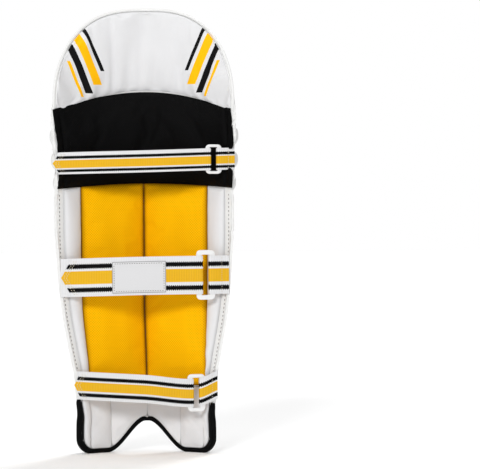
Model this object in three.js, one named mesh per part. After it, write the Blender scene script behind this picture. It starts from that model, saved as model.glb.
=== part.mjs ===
// A cricket batting pad standing on its two feet: strike face towards -Y, leg side towards +Y.
// Millimetres, +Z up, origin on the floor below the middle of the pad's box.

import * as THREE from 'three';

// Overall sizes
const HEIGHT = 690;
const BOARD = 5; // thickness of the curved shell
const GAP = 0.6; // clearance between pieces that are sewn together
const SEAM_GAP = 1.2; // clearance between padded pieces that lie side by side
const MID_DEPTH_SHIFT = -33.234; // brings the middle of the pad's depth over the origin
const CROSS_CURVE = 0.8; // share of a quarter ellipse that each half of the cross section follows

// The middle surface by height: half width, how far the wings wrap back, and where the centre line stands
const SECTIONS = [
  { z: 0, half: 106, wrap: 56, centre: -4 },
  { z: 45, half: 106, wrap: 58, centre: -2.5 },
  { z: 85, half: 103, wrap: 60, centre: -1 },
  { z: 130, half: 107, wrap: 64, centre: 1 },
  { z: 220, half: 122, wrap: 72, centre: 3 },
  { z: 310, half: 130, wrap: 77, centre: 3 },
  { z: 404, half: 131.5, wrap: 77, centre: 2 },
  { z: 455, half: 133.5, wrap: 75, centre: 2 },
  { z: 543, half: 136, wrap: 68, centre: 6 },
  { z: 690, half: 136, wrap: 52, centre: 20 },
];

// Domed top
const DOME_START = 543;
const DOME_POWER = 2.8;
const PIPING_RADIUS = 2;
const PIPING_START = 516;
const SHELL_TOP = HEIGHT - 2 * PIPING_RADIUS - GAP;

// Feet and arch
const BINDING_WIDTH = 5.5;
const BINDING_HALF_THICKNESS = 4;
const BINDING_START = 85;
const BINDING_FULL = 52;
const BINDING_ENDS = [
  { row: 2.92, scale: 0.3 },
  { row: 2.6, scale: 0.8 },
  { row: 2, scale: 1 },
  { row: 1, scale: 1 },
];
const SOLE_PRESS = 0.5; // how far the soft soles are pressed flat by the pad's weight
const FOOT_HALF = SECTIONS[0].half - BINDING_WIDTH;
const SOLE_EDGE = BINDING_WIDTH - SOLE_PRESS;
const ARCH_RISE = 48.5;
const ARCH_INNER = 3;
const ARCH_OUTER = 64;
const FOOT_CORNER_X = 86;
const FOOT_CORNER_RISE = 18;

// Strike face
const FACE = BOARD / 2 + GAP; // height off the middle surface where padded pieces begin
const RIM = 2; // thickness left along the sewn edge of a padded piece
const TOP_FACE_BOTTOM = 509;
const TOP_FACE_INSET = 5;
const TOP_SEAMS = [-1, -0.765, -0.487, -0.172, 0.172, 0.487, 0.765, 1];
const TOP_RISE = 9;
const TOP_KNOB_RISE = 9;
const KNOB_LENGTH = 38;
const TOP_ROUNDING = { crown: 14, foot: 10, edge: 3 }; // lengths over which the top rounds off
const ROLLS = [
  { name: 'knee_roll_upper', low: 473, high: 507, rise: 37, reach: 0.985 },
  { name: 'knee_roll_middle', low: 437.6, high: 471.4, rise: 40, reach: 0.975 },
  { name: 'knee_roll_lower', low: 402, high: 436, rise: 37, reach: 0.97 },
];
const ROLL_ENDS = { power: 5, tall: 0.62, proud: 0.3 }; // how a roll shrinks at its two ends
const ROLL_SLOPE = 0.42; // share by which a roll falls from its middle to its ends
const RIB_TOP = 400;
const RIB_EDGES = [-97.5, -62, -21, 21, 62, 97.5];
const RIB_TAPER = 0.045; // share by which the ribs narrow from the knee to the floor
const RIB_RISE = 18;
const RIB_KNOB_RISE = 9;
const RIB_TOE_RISE = 6;
const RIB_TOE_LENGTH = 30;
const RIB_ROUNDING = { top: 10, toe: 14, edge: 2 }; // lengths over which a rib rounds off
const MIDDLE_RIB_BOTTOM = 131;
const INSTEP_TOP = 129;
const INSTEP_RISE = 11;
const SIDE_PANEL_RISE = 9;
const SIDE_PANEL_REACH = 0.965;
const SIDE_PANEL_ROUNDING = { top: 12, foot: 60, edge: 2 }; // lengths over which a side panel rounds off
const EDGE_CLEARANCE = 1.5; // from the bottom of a padded piece to the bound edge

// Leg side
const CRADLE_HALF = 126;
const CRADLE_TOP = { sides: 529, rise: 32 };
const CRADLE_BOTTOM = { sides: 409, rise: 9 };
const CRADLE_THICKNESS = { sides: 5, middle: 30, power: 2.2 };
const BOLSTER = { bottom: 105, inner: 1.2, outerLow: 92.5, outerHigh: 99, wide: 260, thickness: 20 };
const BOLSTER_END_POWER = 0.6; // how blunt the ends of the bolsters are
const LINING_TOP = 103;
const LINING_SEAMS = [-1, -0.8, -0.46, 0, 0.46, 0.8, 1];
const LINING_INSET = 4;
const LINING_RISE = 6;
const FLANGE = 8;
const WING_RISE = 11;
const WING_END_POWER = 0.5;
const TOP_LINING_INSET = 7;
const TOP_LINING_RISE = 11;
const TOP_LINING_POWER = 4;

// Webbing straps. The seat is the clearance over the rim of the wing, and the heights are those of the
// middle line at the sewn end, the middle, the buckle and the tab end.
const WEBBING = 1.5;
const WEBBING_GAP = 0.4; // clearance between webbing and what it lies on
const LAYER_OFFSET = (WEBBING + WEBBING_GAP) / 2; // from the strap's middle line to each of its two layers
const STRAP_BOW = 20;
const TIP_LENGTH = 9;
const TIP_WIDTH = 2;
const BAR = 7.4;
const BUCKLE_THICKNESS = 3.5;
const BUCKLE_CORNER = 4.5;
const WINDOW_CORNER = 1;
const WINDOW_SLACK = 1.5;
const BAR_OFFSET = BUCKLE_THICKNESS / 2 + WEBBING_GAP + WEBBING / 2;
const TURN_DEPTH = WEBBING_GAP + WEBBING / 2;
const TURN_FLAT = 1.9;
const CONVERGE = 9; // length over which the two layers come together past the buckle
const STRAPS = [
  { name: 'knee', width: 33.5, seat: 0.75, tip: 139, tab: -139, heights: [448.4, 450.4, 453.4, 454.4] },
  { name: 'calf', width: 58.5, seat: 0.75, tip: 127, tab: -129, heights: [272.9, 275.8, 276.5, 276.7] },
  { name: 'ankle', width: 43.5, seat: 1.1, tip: 109, tab: -110, heights: [107.8, 102.3, 95.2, 106.8] },
];
const BUCKLES = {
  knee: { x: -107, long: 25.5, tall: 45 },
  calf: { x: -93.8, long: 29.4, tall: 76 },
  ankle: { x: -78, long: 28.4, tall: 58 },
};
const STRAP_OVERHANG = 4; // how far the sewn end reaches past the wing's edge
const LABEL = { x: 7.5, long: 80, tall: 46.5, thickness: 0.8 };

const MATERIALS = {
  white_leather: { color: 0xf0f0ee, roughness: 0.5 },
  white_cloth: { color: 0xf2f2f0, roughness: 0.85 },
  black_cloth: { color: 0x121212, roughness: 0.9 },
  yellow_cloth: { color: 0xf8b400, roughness: 0.9 },
  black_binding: { color: 0x0c0c0c, roughness: 0.6 },
  striped_webbing: { color: 0xecba3c, roughness: 0.85 },
  white_plastic: { color: 0xf6f6f4, roughness: 0.3 },
};

const pad = new THREE.Group();

function addPiece(name, material, geometry) {
  const mesh = new THREE.Mesh(geometry, new THREE.MeshStandardMaterial(MATERIALS[material]));
  mesh.name = name;
  pad.add(mesh);
  return mesh;
}

// Smooth curve through one column of a table whose rows are sorted by a key column
function along(table, key, column, at) {
  const last = table.length - 1;
  let i = 0;
  while (i < last - 1 && at > table[i + 1][key]) i += 1;
  const from = table[i];
  const to = table[i + 1];
  const span = to[key] - from[key];
  const slope = (a, b) => (b[column] - a[column]) / (b[key] - a[key]);
  const slopeFrom = slope(table[Math.max(i - 1, 0)], to) * span;
  const slopeTo = slope(from, table[Math.min(i + 2, last)]) * span;
  const s = THREE.MathUtils.clamp((at - from[key]) / span, 0, 1);
  const bend = s * (1 - s) * (slopeFrom * (1 - s) - slopeTo * s);
  return from[column] + (to[column] - from[column]) * s * s * (3 - 2 * s) + bend;
}

const { lerp, smoothstep } = THREE.MathUtils;
const half = (z) => along(SECTIONS, 'z', 'half', z);

// Half width of the shell itself, which leaves room for the binding near the feet
const shellHalf = (z) => half(z) - BINDING_WIDTH * (1 - smoothstep(z, BINDING_FULL, BINDING_START));

function surfaceY(x, z) {
  const share = (CROSS_CURVE * Math.abs(x)) / half(z);
  const bend = (1 - Math.sqrt(1 - share * share)) / (1 - Math.sqrt(1 - CROSS_CURVE * CROSS_CURVE));
  return along(SECTIONS, 'z', 'centre', z) + along(SECTIONS, 'z', 'wrap', z) * bend + MID_DEPTH_SHIFT;
}

// Unit normal of the middle surface, on the strike side
function surfaceNormal(x, z) {
  const step = 0.25;
  const acrossSlope = (surfaceY(x + step, z) - surfaceY(x - step, z)) / (2 * step);
  const upSlope = (surfaceY(x, z + step) - surfaceY(x, z - step)) / (2 * step);
  return new THREE.Vector3(acrossSlope, -1, upSlope).normalize();
}

// Point at a height off the middle surface: positive towards the ball, negative towards the leg
function onPad(x, z, height) {
  return new THREE.Vector3(x, surfaceY(x, z), z).addScaledVector(surfaceNormal(x, z), height);
}

// Edge of the domed top, by share of the half width
function domeEdge(share, crown) {
  return DOME_START + (crown - DOME_START) * Math.sqrt(1 - Math.abs(share) ** DOME_POWER);
}

// Lower edge of the shell: arch in the middle, flat soles, rounded outer corners
function bottomEdge(x) {
  const reach = Math.abs(x);
  const arch = ARCH_RISE * (1 - smoothstep(reach, ARCH_INNER, ARCH_OUTER));
  const corner = Math.max(0, reach - FOOT_CORNER_X) / (FOOT_HALF - FOOT_CORNER_X);
  return SOLE_EDGE + arch + FOOT_CORNER_RISE * (1 - Math.sqrt(Math.max(0, 1 - corner * corner)));
}

// Shares from -1 to 1 that lie closer together towards both ends
const CROWDING = 0.95;
const spread = (a) => Math.sin((a - 0.5) * Math.PI * CROWDING) / Math.sin(0.5 * Math.PI * CROWDING);
const crowded = (a) => (spread(a) + 1) / 2;

// Rounded swelling between two edges, and rounding within a length of an end
const PUFF_POWER = 2.4;
const puff = (v) => Math.sqrt(Math.max(0, 1 - Math.abs(2 * v - 1) ** PUFF_POWER));
function roundEnd(distance, length) {
  const left = Math.max(0, 1 - distance / length);
  return Math.sqrt(1 - left * left);
}

// Knob at the end of a rib: highest a little way in from the end, gone at its length
const KNOB_PEAK = 0.42;
function knob(distance, length) {
  const offset = (distance / length - KNOB_PEAK) / (1 - KNOB_PEAK);
  return Math.sqrt(Math.max(0, 1 - offset * offset));
}

function closedGeometry(points, triangles) {
  const geometry = new THREE.BufferGeometry();
  geometry.setAttribute('position', new THREE.Float32BufferAttribute(points.flatMap((p) => p.toArray()), 3));
  let volume = 0;
  for (const [i, j, k] of triangles) {
    volume += points[i].dot(points[j].clone().cross(points[k]));
  }
  const outward = volume > 0 ? triangles : triangles.map(([i, j, k]) => [i, k, j]);
  geometry.setIndex(outward.flat());
  geometry.computeVertexNormals();
  return geometry;
}

// Closed padded piece: two grids over the pad's surface, joined round their edge
function quilt({ columns, rows, place, outer, inner }) {
  const points = [];
  const row = columns + 1;
  const sheet = row * (rows + 1);
  for (const height of [outer, inner]) {
    for (let r = 0; r <= rows; r += 1) {
      for (let c = 0; c <= columns; c += 1) {
        const spot = place(c / columns, r / rows);
        points.push(onPad(spot.x, spot.z, height(spot)));
      }
    }
  }
  const triangles = [];
  for (let r = 0; r < rows; r += 1) {
    for (let c = 0; c < columns; c += 1) {
      const i = r * row + c;
      triangles.push([i, i + 1, i + row + 1], [i, i + row + 1, i + row]);
      const j = sheet + i;
      triangles.push([j, j + row + 1, j + 1], [j, j + row, j + row + 1]);
    }
  }
  const border = [];
  for (let c = 0; c < columns; c += 1) border.push(c);
  for (let r = 0; r < rows; r += 1) border.push(r * row + columns);
  for (let c = columns; c > 0; c -= 1) border.push(rows * row + c);
  for (let r = rows; r > 0; r -= 1) border.push(r * row);
  border.forEach((i, index) => {
    const j = border[(index + 1) % border.length];
    triangles.push([j, i, sheet + i], [j, sheet + i, sheet + j]);
  });
  return closedGeometry(points, triangles);
}

// Closed body through rings of points, with a flat cap at both ends
function loft(rings) {
  const size = rings[0].length;
  const triangles = [];
  for (let r = 0; r + 1 < rings.length; r += 1) {
    for (let k = 0; k < size; k += 1) {
      const a = r * size + k;
      const b = r * size + ((k + 1) % size);
      triangles.push([a, b, b + size], [a, b + size, a + size]);
    }
  }
  const end = (rings.length - 1) * size;
  for (let k = 1; k + 1 < size; k += 1) {
    triangles.push([0, k + 1, k], [end, end + k, end + k + 1]);
  }
  return closedGeometry(rings.flat(), triangles);
}

// Trim along an edge of the shell, walked clockwise as seen from the strike side.
// Each section point holds a distance out from the edge, measured in the front view,
// and a height off the surface.
function edgeTrim(edge, section) {
  const line = edge.map(({ x, z }) => onPad(x, z, 0));
  const rings = edge.map(({ x, z, scale = 1 }, i) => {
    const before = line[Math.max(i - 1, 0)];
    const after = line[Math.min(i + 1, line.length - 1)];
    const normal = surfaceNormal(x, z);
    const outward = normal.clone().cross(after.clone().sub(before)).normalize();
    const stretch = section.asSeen ? 1 / Math.hypot(outward.x, outward.z) : 1;
    return section.points.map(({ out, height }) => {
      const point = line[i].clone().addScaledVector(outward, GAP + (out - GAP) * scale * stretch);
      point.addScaledVector(normal, height * scale);
      point.z = Math.max(point.z, 0);
      return point;
    });
  });
  return loft(rings);
}

// Spot on the shell by share of the half width and by row, with closer rows near the feet
const SHELL_COLUMNS = 30;
const SHELL_ROWS = 16;
const ROW_POWER = 1.3;
const shellShares = Array.from({ length: SHELL_COLUMNS + 1 }, (_, i) => spread(i / SHELL_COLUMNS));
function shellSpot(share, row) {
  const z = lerp(bottomEdge(share * FOOT_HALF), domeEdge(share, SHELL_TOP), (row / SHELL_ROWS) ** ROW_POWER);
  return { x: share * shellHalf(z), z };
}

function addShell() {
  const place = (a, b) => shellSpot(spread(a), b * SHELL_ROWS);
  const heights = { outer: () => BOARD / 2, inner: () => -BOARD / 2 };
  addPiece('shell', 'white_leather', quilt({ columns: SHELL_COLUMNS, rows: SHELL_ROWS, place, ...heights }));
}

// Binding from one side of the shell round both feet to the other, tapered at its two ends
function addBinding() {
  const side = (sign) => BINDING_ENDS.map(({ row, scale }) => ({ ...shellSpot(sign, row), scale }));
  const sole = shellShares.map((share) => shellSpot(share, 0));
  const edge = [...side(1), ...sole.reverse(), ...side(-1).reverse()];
  const t = BINDING_HALF_THICKNESS;
  const points = [
    { out: GAP, height: -t },
    { out: GAP, height: t },
    { out: BINDING_WIDTH, height: t },
    { out: BINDING_WIDTH, height: -t },
  ];
  addPiece('edge_binding', 'black_binding', edgeTrim(edge, { points, asSeen: true }));
}

function addPiping() {
  const dome = shellShares.map((share) => shellSpot(share, SHELL_ROWS));
  const foot = (sign) => ({ x: sign * shellHalf(PIPING_START), z: PIPING_START });
  const sides = 6;
  const points = Array.from({ length: sides }, (_, i) => {
    const angle = (2 * Math.PI * i) / sides;
    const out = GAP + PIPING_RADIUS * (1 + Math.cos(angle));
    return { out, height: PIPING_RADIUS * Math.sin(angle) };
  });
  addPiece('top_piping', 'white_leather', edgeTrim([foot(-1), ...dome, foot(1)], { points, asSeen: false }));
}

function addTopFace() {
  const lobes = TOP_SEAMS.length - 1;
  const place = (a, b) => {
    const lobe = Math.min(Math.floor(a * lobes + 1e-6), lobes - 1);
    const v = a * lobes - lobe;
    const share = lerp(TOP_SEAMS[lobe], TOP_SEAMS[lobe + 1], v);
    const top = domeEdge(share, SHELL_TOP - TOP_FACE_INSET);
    const z = lerp(TOP_FACE_BOTTOM, top, b ** ROW_POWER);
    const middle = lobe > 0 && lobe < lobes - 1;
    return { x: share * (shellHalf(z) - TOP_FACE_INSET), z, v, top, middle };
  };
  const outer = ({ z, v, top, middle }) => {
    const rise = TOP_RISE + (middle ? TOP_KNOB_RISE * knob(z - TOP_FACE_BOTTOM, KNOB_LENGTH) : 0);
    const foot = roundEnd(z - TOP_FACE_BOTTOM + TOP_ROUNDING.edge, TOP_ROUNDING.foot);
    return FACE + RIM + rise * puff(v) * roundEnd(top - z, TOP_ROUNDING.crown) * foot;
  };
  const geometry = quilt({ columns: lobes * 4, rows: 8, place, outer, inner: () => FACE });
  addPiece('top_face', 'white_leather', geometry);
}

function addKneeRoll({ name, low, high, rise, reach }) {
  const steps = 22;
  const arc = 6;
  const rings = Array.from({ length: steps + 1 }, (_, i) => {
    const share = spread(i / steps);
    const fall = Math.sqrt(1 - Math.abs(share) ** ROLL_ENDS.power);
    const tall = ((high - low) / 2) * lerp(ROLL_ENDS.tall, 1, fall);
    const proud = rise * lerp(ROLL_ENDS.proud, 1, fall) * (1 - ROLL_SLOPE * share * share);
    return Array.from({ length: arc + 1 }, (_, k) => {
      const angle = Math.PI * (k / arc - 0.5);
      const z = (low + high) / 2 + tall * Math.sin(angle);
      return onPad(share * reach * half(z), z, FACE + proud * Math.cos(angle));
    });
  });
  addPiece(name, 'white_leather', loft(rings));
}

const ribEdge = (edge, z) => RIB_EDGES[edge] * (1 - RIB_TAPER * (1 - z / RIB_TOP));

function addRib(index) {
  const outerRib = index === 0 || index === RIB_EDGES.length - 2;
  const place = (a, b) => {
    const foot = lerp(ribEdge(index, 0), ribEdge(index + 1, 0), a);
    const low = outerRib ? bottomEdge(foot) + EDGE_CLEARANCE : MIDDLE_RIB_BOTTOM;
    const z = lerp(low, RIB_TOP, crowded(b));
    const left = ribEdge(index, z) + SEAM_GAP / 2;
    const right = ribEdge(index + 1, z) - SEAM_GAP / 2;
    return { x: lerp(left, right, crowded(a)), z, v: crowded(a), low };
  };
  const outer = ({ z, v, low }) => {
    const toe = outerRib ? 0 : RIB_TOE_RISE * knob(z - low, RIB_TOE_LENGTH);
    const rise = RIB_RISE + RIB_KNOB_RISE * knob(RIB_TOP - z, KNOB_LENGTH) + toe;
    const { top: topLength, toe: toeLength, edge } = RIB_ROUNDING;
    const ends = roundEnd(RIB_TOP - z + edge, topLength) * roundEnd(z - low + edge, toeLength);
    return FACE + RIM + rise * puff(v) * ends;
  };
  const geometry = quilt({ columns: 4, rows: 13, place, outer, inner: () => FACE });
  addPiece(`rib_${index + 1}`, 'white_leather', geometry);
}

function addSidePanel(name, sign) {
  const edge = RIB_EDGES.length - 1;
  const place = (a, b) => {
    const v = sign > 0 ? a : 1 - a;
    const toe = lerp(ribEdge(edge, 0) + SEAM_GAP, SIDE_PANEL_REACH * FOOT_HALF, v);
    const low = bottomEdge(toe) + EDGE_CLEARANCE;
    const z = lerp(low, RIB_TOP, crowded(b));
    const x = lerp(ribEdge(edge, z) + SEAM_GAP, SIDE_PANEL_REACH * shellHalf(z), v);
    return { x: sign * x, z, v, low };
  };
  const outer = ({ z, v, low }) => {
    const top = roundEnd(RIB_TOP - z + SIDE_PANEL_ROUNDING.edge, SIDE_PANEL_ROUNDING.top);
    return FACE + RIM + SIDE_PANEL_RISE * puff(v) * top * roundEnd(z - low, SIDE_PANEL_ROUNDING.foot);
  };
  addPiece(name, 'white_leather', quilt({ columns: 4, rows: 12, place, outer, inner: () => FACE }));
}

function addInstepPanel() {
  const place = (a, b) => {
    const v = crowded(a);
    const w = crowded(b);
    const reach = (z) => ribEdge(RIB_EDGES.length - 2, z) - SEAM_GAP;
    const low = bottomEdge(lerp(-reach(0), reach(0), v)) + EDGE_CLEARANCE;
    const z = lerp(low, INSTEP_TOP, w);
    return { x: lerp(-reach(z), reach(z), v), z, v, w };
  };
  const outer = ({ v, w }) => FACE + RIM + INSTEP_RISE * puff(v) * puff(w);
  addPiece('instep_panel', 'white_leather', quilt({ columns: 12, rows: 5, place, outer, inner: () => FACE }));
}

const cradleTop = (x) => CRADLE_TOP.sides + CRADLE_TOP.rise * (1 - (x / CRADLE_HALF) ** 2);
const cradleBottom = (x) => CRADLE_BOTTOM.sides + CRADLE_BOTTOM.rise * (1 - (x / CRADLE_HALF) ** 2);

function addKneeCradle() {
  const place = (a, b) => {
    const share = spread(a);
    const w = crowded(b);
    const x = share * CRADLE_HALF;
    return { x, z: lerp(cradleBottom(x), cradleTop(x), w), share, w };
  };
  const inner = ({ share, w }) => {
    const { sides, middle, power } = CRADLE_THICKNESS;
    const thick = lerp(middle, sides, Math.abs(share) ** power);
    return -FACE - RIM - (thick - RIM) * puff(w);
  };
  addPiece('knee_cradle', 'black_cloth', quilt({ columns: 22, rows: 6, place, outer: () => -FACE, inner }));
}

function bolsterEdge(z) {
  return lerp(BOLSTER.outerLow, BOLSTER.outerHigh, smoothstep(z, BOLSTER.bottom, BOLSTER.wide));
}

function addBolster(name, sign) {
  const place = (a, b) => {
    const v = crowded(a);
    const w = crowded(b);
    const out = sign > 0 ? v : 1 - v;
    const high = cradleBottom(lerp(BOLSTER.inner, BOLSTER.outerHigh, out)) - EDGE_CLEARANCE;
    const z = lerp(BOLSTER.bottom, high, w);
    return { x: sign * lerp(BOLSTER.inner, bolsterEdge(z), out), z, v, w };
  };
  const rise = BOLSTER.thickness - RIM;
  const inner = ({ v, w }) => -FACE - RIM - rise * puff(v) * puff(w) ** BOLSTER_END_POWER;
  addPiece(name, 'yellow_cloth', quilt({ columns: 6, rows: 9, place, outer: () => -FACE, inner }));
}

function addWingLining(name, sign) {
  const place = (a, b) => {
    const v = sign > 0 ? a : 1 - a;
    const high = cradleBottom(lerp(BOLSTER.outerHigh, CRADLE_HALF - FLANGE, v)) - EDGE_CLEARANCE;
    const z = lerp(BOLSTER.bottom, high, b);
    const x = lerp(bolsterEdge(z) + SEAM_GAP, shellHalf(z) - FLANGE, v);
    return { x: sign * x, z, v, w: b };
  };
  const inner = ({ v, w }) => -FACE - RIM - WING_RISE * puff(v) * puff(w) ** WING_END_POWER;
  addPiece(name, 'white_cloth', quilt({ columns: 4, rows: 10, place, outer: () => -FACE, inner }));
}

function addInstepLining() {
  const lobes = LINING_SEAMS.length - 1;
  const place = (a, b) => {
    const lobe = Math.min(Math.floor(a * lobes + 1e-6), lobes - 1);
    const v = a * lobes - lobe;
    const share = lerp(LINING_SEAMS[lobe], LINING_SEAMS[lobe + 1], v);
    const low = bottomEdge(share * (FOOT_HALF - LINING_INSET)) + EDGE_CLEARANCE;
    const z = lerp(low, LINING_TOP, b);
    return { x: share * (shellHalf(z) - LINING_INSET), z, v, w: b };
  };
  const inner = ({ v, w }) => -FACE - RIM - LINING_RISE * puff(v) * puff(w);
  const geometry = quilt({ columns: lobes * 3, rows: 4, place, outer: () => -FACE, inner });
  addPiece('instep_lining', 'white_cloth', geometry);
}

function addTopLining() {
  const place = (a, b) => {
    const share = spread(a);
    const low = cradleTop(share * (half(DOME_START) - TOP_LINING_INSET)) + EDGE_CLEARANCE;
    const z = lerp(low, domeEdge(share, SHELL_TOP - TOP_LINING_INSET), b);
    return { x: share * (shellHalf(z) - TOP_LINING_INSET), z, share, w: b };
  };
  const inner = ({ share, w }) => -FACE - RIM - TOP_LINING_RISE * (1 - share ** TOP_LINING_POWER) * puff(w);
  addPiece('top_lining', 'white_cloth', quilt({ columns: 18, rows: 6, place, outer: () => -FACE, inner }));
}

// Middle line of a strap seen from above: a shallow bow over the rims of both wings.
// The flare is how far the strap tilts out from its lower to its upper edge, to lie along the rims.
function strapBow({ heights, width, seat }) {
  const rimAt = (z) => onPad(shellHalf(z), z, -BOARD / 2);
  const rim = rimAt(heights[0]);
  const rimRise = rimAt(heights[0] + width / 2).sub(rimAt(heights[0] - width / 2));
  const flare = (rimRise.y + ((2 * STRAP_BOW) / rim.x) * rimRise.x) / width;
  const lift = seat + WEBBING / 2 + LAYER_OFFSET;
  const y = (x) => rim.y + lift + STRAP_BOW * (1 - (x / rim.x) ** 2);
  const slope = (x) => (-2 * STRAP_BOW * x) / rim.x ** 2;
  const at = (x, offset) => {
    const norm = Math.hypot(1, slope(x));
    return new THREE.Vector2(x - (slope(x) * offset) / norm, y(x) + offset / norm);
  };
  const tilt = (z) => flare * (z - rim.z);
  return { rim, flare, tilt, slope, at };
}

function strapHeight({ name, tip, tab, heights }, x) {
  const rows = [tab, BUCKLES[name].x, 0, tip].map((at, i) => ({ at, z: heights[heights.length - 1 - i] }));
  return along(rows, 'at', 'z', x);
}

// Path of one doubled piece of webbing round a buckle bar: in along the inner layer,
// back along the outer one.
// Side is 1 for the strap, which comes from +X, and -1 for the tab, which comes from -X.
function webbingPath(strap, bow, side, innerEnd, outerEnd) {
  const buckle = BUCKLES[strap.name];
  const centre = bow.at(buckle.x, 0);
  const lengthwise = new THREE.Vector2(1, bow.slope(buckle.x)).normalize();
  const across = new THREE.Vector2(-lengthwise.y, lengthwise.x);
  const window = buckle.long / 2 - BAR;
  const local = (reach, offset) => (
    centre.clone().addScaledVector(lengthwise, side * reach).addScaledVector(across, offset)
  );
  const farEdge = buckle.long / 2;
  const layer = (end, offset) => {
    const start = buckle.x + side * (farEdge + CONVERGE);
    const steps = side > 0 ? 10 : 2;
    return Array.from({ length: steps + 1 }, (_, i) => bow.at(lerp(start, end, i / steps), offset));
  };
  const turn = [
    local(farEdge, -BAR_OFFSET),
    local(window, -BAR_OFFSET),
    local(window - TURN_DEPTH, -TURN_FLAT),
    local(window - TURN_DEPTH, TURN_FLAT),
    local(window, BAR_OFFSET),
    local(farEdge, BAR_OFFSET),
  ];
  return [...layer(innerEnd, -LAYER_OFFSET).reverse(), ...turn, ...layer(outerEnd, LAYER_OFFSET)];
}

// Flat ribbon of webbing along a path in plan, with its own height and width at each point
function ribbon(path, { heightAt, widthAt, thickness, tilt }) {
  const rings = path.map((point, i) => {
    const back = point.clone().sub(path[Math.max(i - 1, 0)]);
    const ahead = path[Math.min(i + 1, path.length - 1)].clone().sub(point);
    const before = (i === 0 ? ahead : back).clone().normalize();
    const after = (i === path.length - 1 ? back : ahead).clone().normalize();
    const direction = before.clone().add(after).normalize();
    const reach = thickness / 2 / Math.max(direction.dot(after), 0.5);
    const normal = new THREE.Vector2(-direction.y, direction.x).multiplyScalar(reach);
    const z = heightAt(point, i);
    const tall = widthAt(point, i) / 2;
    return [[1, 1], [1, -1], [-1, -1], [-1, 1]].map(([face, edge]) => {
      const level = z + edge * tall;
      return new THREE.Vector3(point.x + face * normal.x, point.y + face * normal.y + tilt(level), level);
    });
  });
  return loft(rings);
}

function addStrap(strap) {
  const bow = strapBow(strap);
  const cloth = { heightAt: (point) => strapHeight(strap, point.x), thickness: WEBBING, tilt: bow.tilt };
  const path = webbingPath(strap, bow, 1, bow.rim.x + STRAP_OVERHANG, strap.tip - TIP_LENGTH);
  path.push(bow.at(strap.tip, LAYER_OFFSET));
  const tipWidth = (point, i) => (i === path.length - 1 ? TIP_WIDTH : strap.width);
  addPiece(`${strap.name}_strap`, 'striped_webbing', ribbon(path, { ...cloth, widthAt: tipWidth }));
  const tabPath = webbingPath(strap, bow, -1, strap.tab, strap.tab);
  addPiece(`${strap.name}_tab`, 'striped_webbing', ribbon(tabPath, { ...cloth, widthAt: () => strap.width }));
}

function roundedRectangle(path, wide, tall, radius) {
  const w = wide / 2 - radius;
  const t = tall / 2 - radius;
  path.absarc(w, t, radius, 0, Math.PI / 2);
  path.absarc(-w, t, radius, Math.PI / 2, Math.PI);
  path.absarc(-w, -t, radius, Math.PI, Math.PI * 1.5);
  path.absarc(w, -t, radius, Math.PI * 1.5, Math.PI * 2);
  path.closePath();
  return path;
}

function addBuckle(strap) {
  const bow = strapBow(strap);
  const { x, long, tall } = BUCKLES[strap.name];
  const outline = roundedRectangle(new THREE.Shape(), long, tall, BUCKLE_CORNER);
  const windowTall = strap.width + 2 * WINDOW_SLACK;
  outline.holes.push(roundedRectangle(new THREE.Path(), long - 2 * BAR, windowTall, WINDOW_CORNER));
  const moulding = { depth: BUCKLE_THICKNESS, bevelEnabled: false, curveSegments: 3 };
  const geometry = new THREE.ExtrudeGeometry(outline, moulding);
  geometry.translate(0, 0, -BUCKLE_THICKNESS / 2);
  geometry.rotateX(Math.PI / 2);
  geometry.rotateZ(Math.atan(bow.slope(x)));
  geometry.applyMatrix4(new THREE.Matrix4().makeShear(0, 0, 0, 0, 0, bow.flare));
  const buckle = addPiece(`${strap.name}_buckle`, 'white_plastic', geometry);
  const spot = bow.at(x, 0);
  const level = strapHeight(strap, x);
  buckle.position.set(spot.x, spot.y + bow.tilt(level), level);
}

function addLabel(strap) {
  const bow = strapBow(strap);
  const offset = LAYER_OFFSET + WEBBING / 2 + GAP + LABEL.thickness / 2;
  const steps = 8;
  const path = Array.from({ length: steps + 1 }, (_, i) => (
    bow.at(LABEL.x + LABEL.long * (i / steps - 0.5), offset)
  ));
  const patch = {
    heightAt: (point) => strapHeight(strap, point.x),
    widthAt: () => LABEL.tall,
    thickness: LABEL.thickness,
    tilt: bow.tilt,
  };
  addPiece('strap_label', 'white_cloth', ribbon(path, patch));
}

addShell();
addBinding();
addPiping();
addTopFace();
ROLLS.forEach(addKneeRoll);
for (let index = 0; index + 1 < RIB_EDGES.length; index += 1) addRib(index);
addSidePanel('side_panel_left', -1);
addSidePanel('side_panel_right', 1);
addInstepPanel();
addTopLining();
addKneeCradle();
addBolster('shin_bolster_left', -1);
addBolster('shin_bolster_right', 1);
addWingLining('wing_lining_left', -1);
addWingLining('wing_lining_right', 1);
addInstepLining();
for (const strap of STRAPS) {
  addStrap(strap);
  addBuckle(strap);
}
addLabel(STRAPS[1]);

export default pad;
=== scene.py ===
"""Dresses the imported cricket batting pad: padded leather in front, cushions and buckled webbing behind."""
import math

import bmesh
import bpy
import numpy as np
from bpy.props import FloatProperty, FloatVectorProperty, PointerProperty
from mathutils import Matrix, Vector


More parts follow.
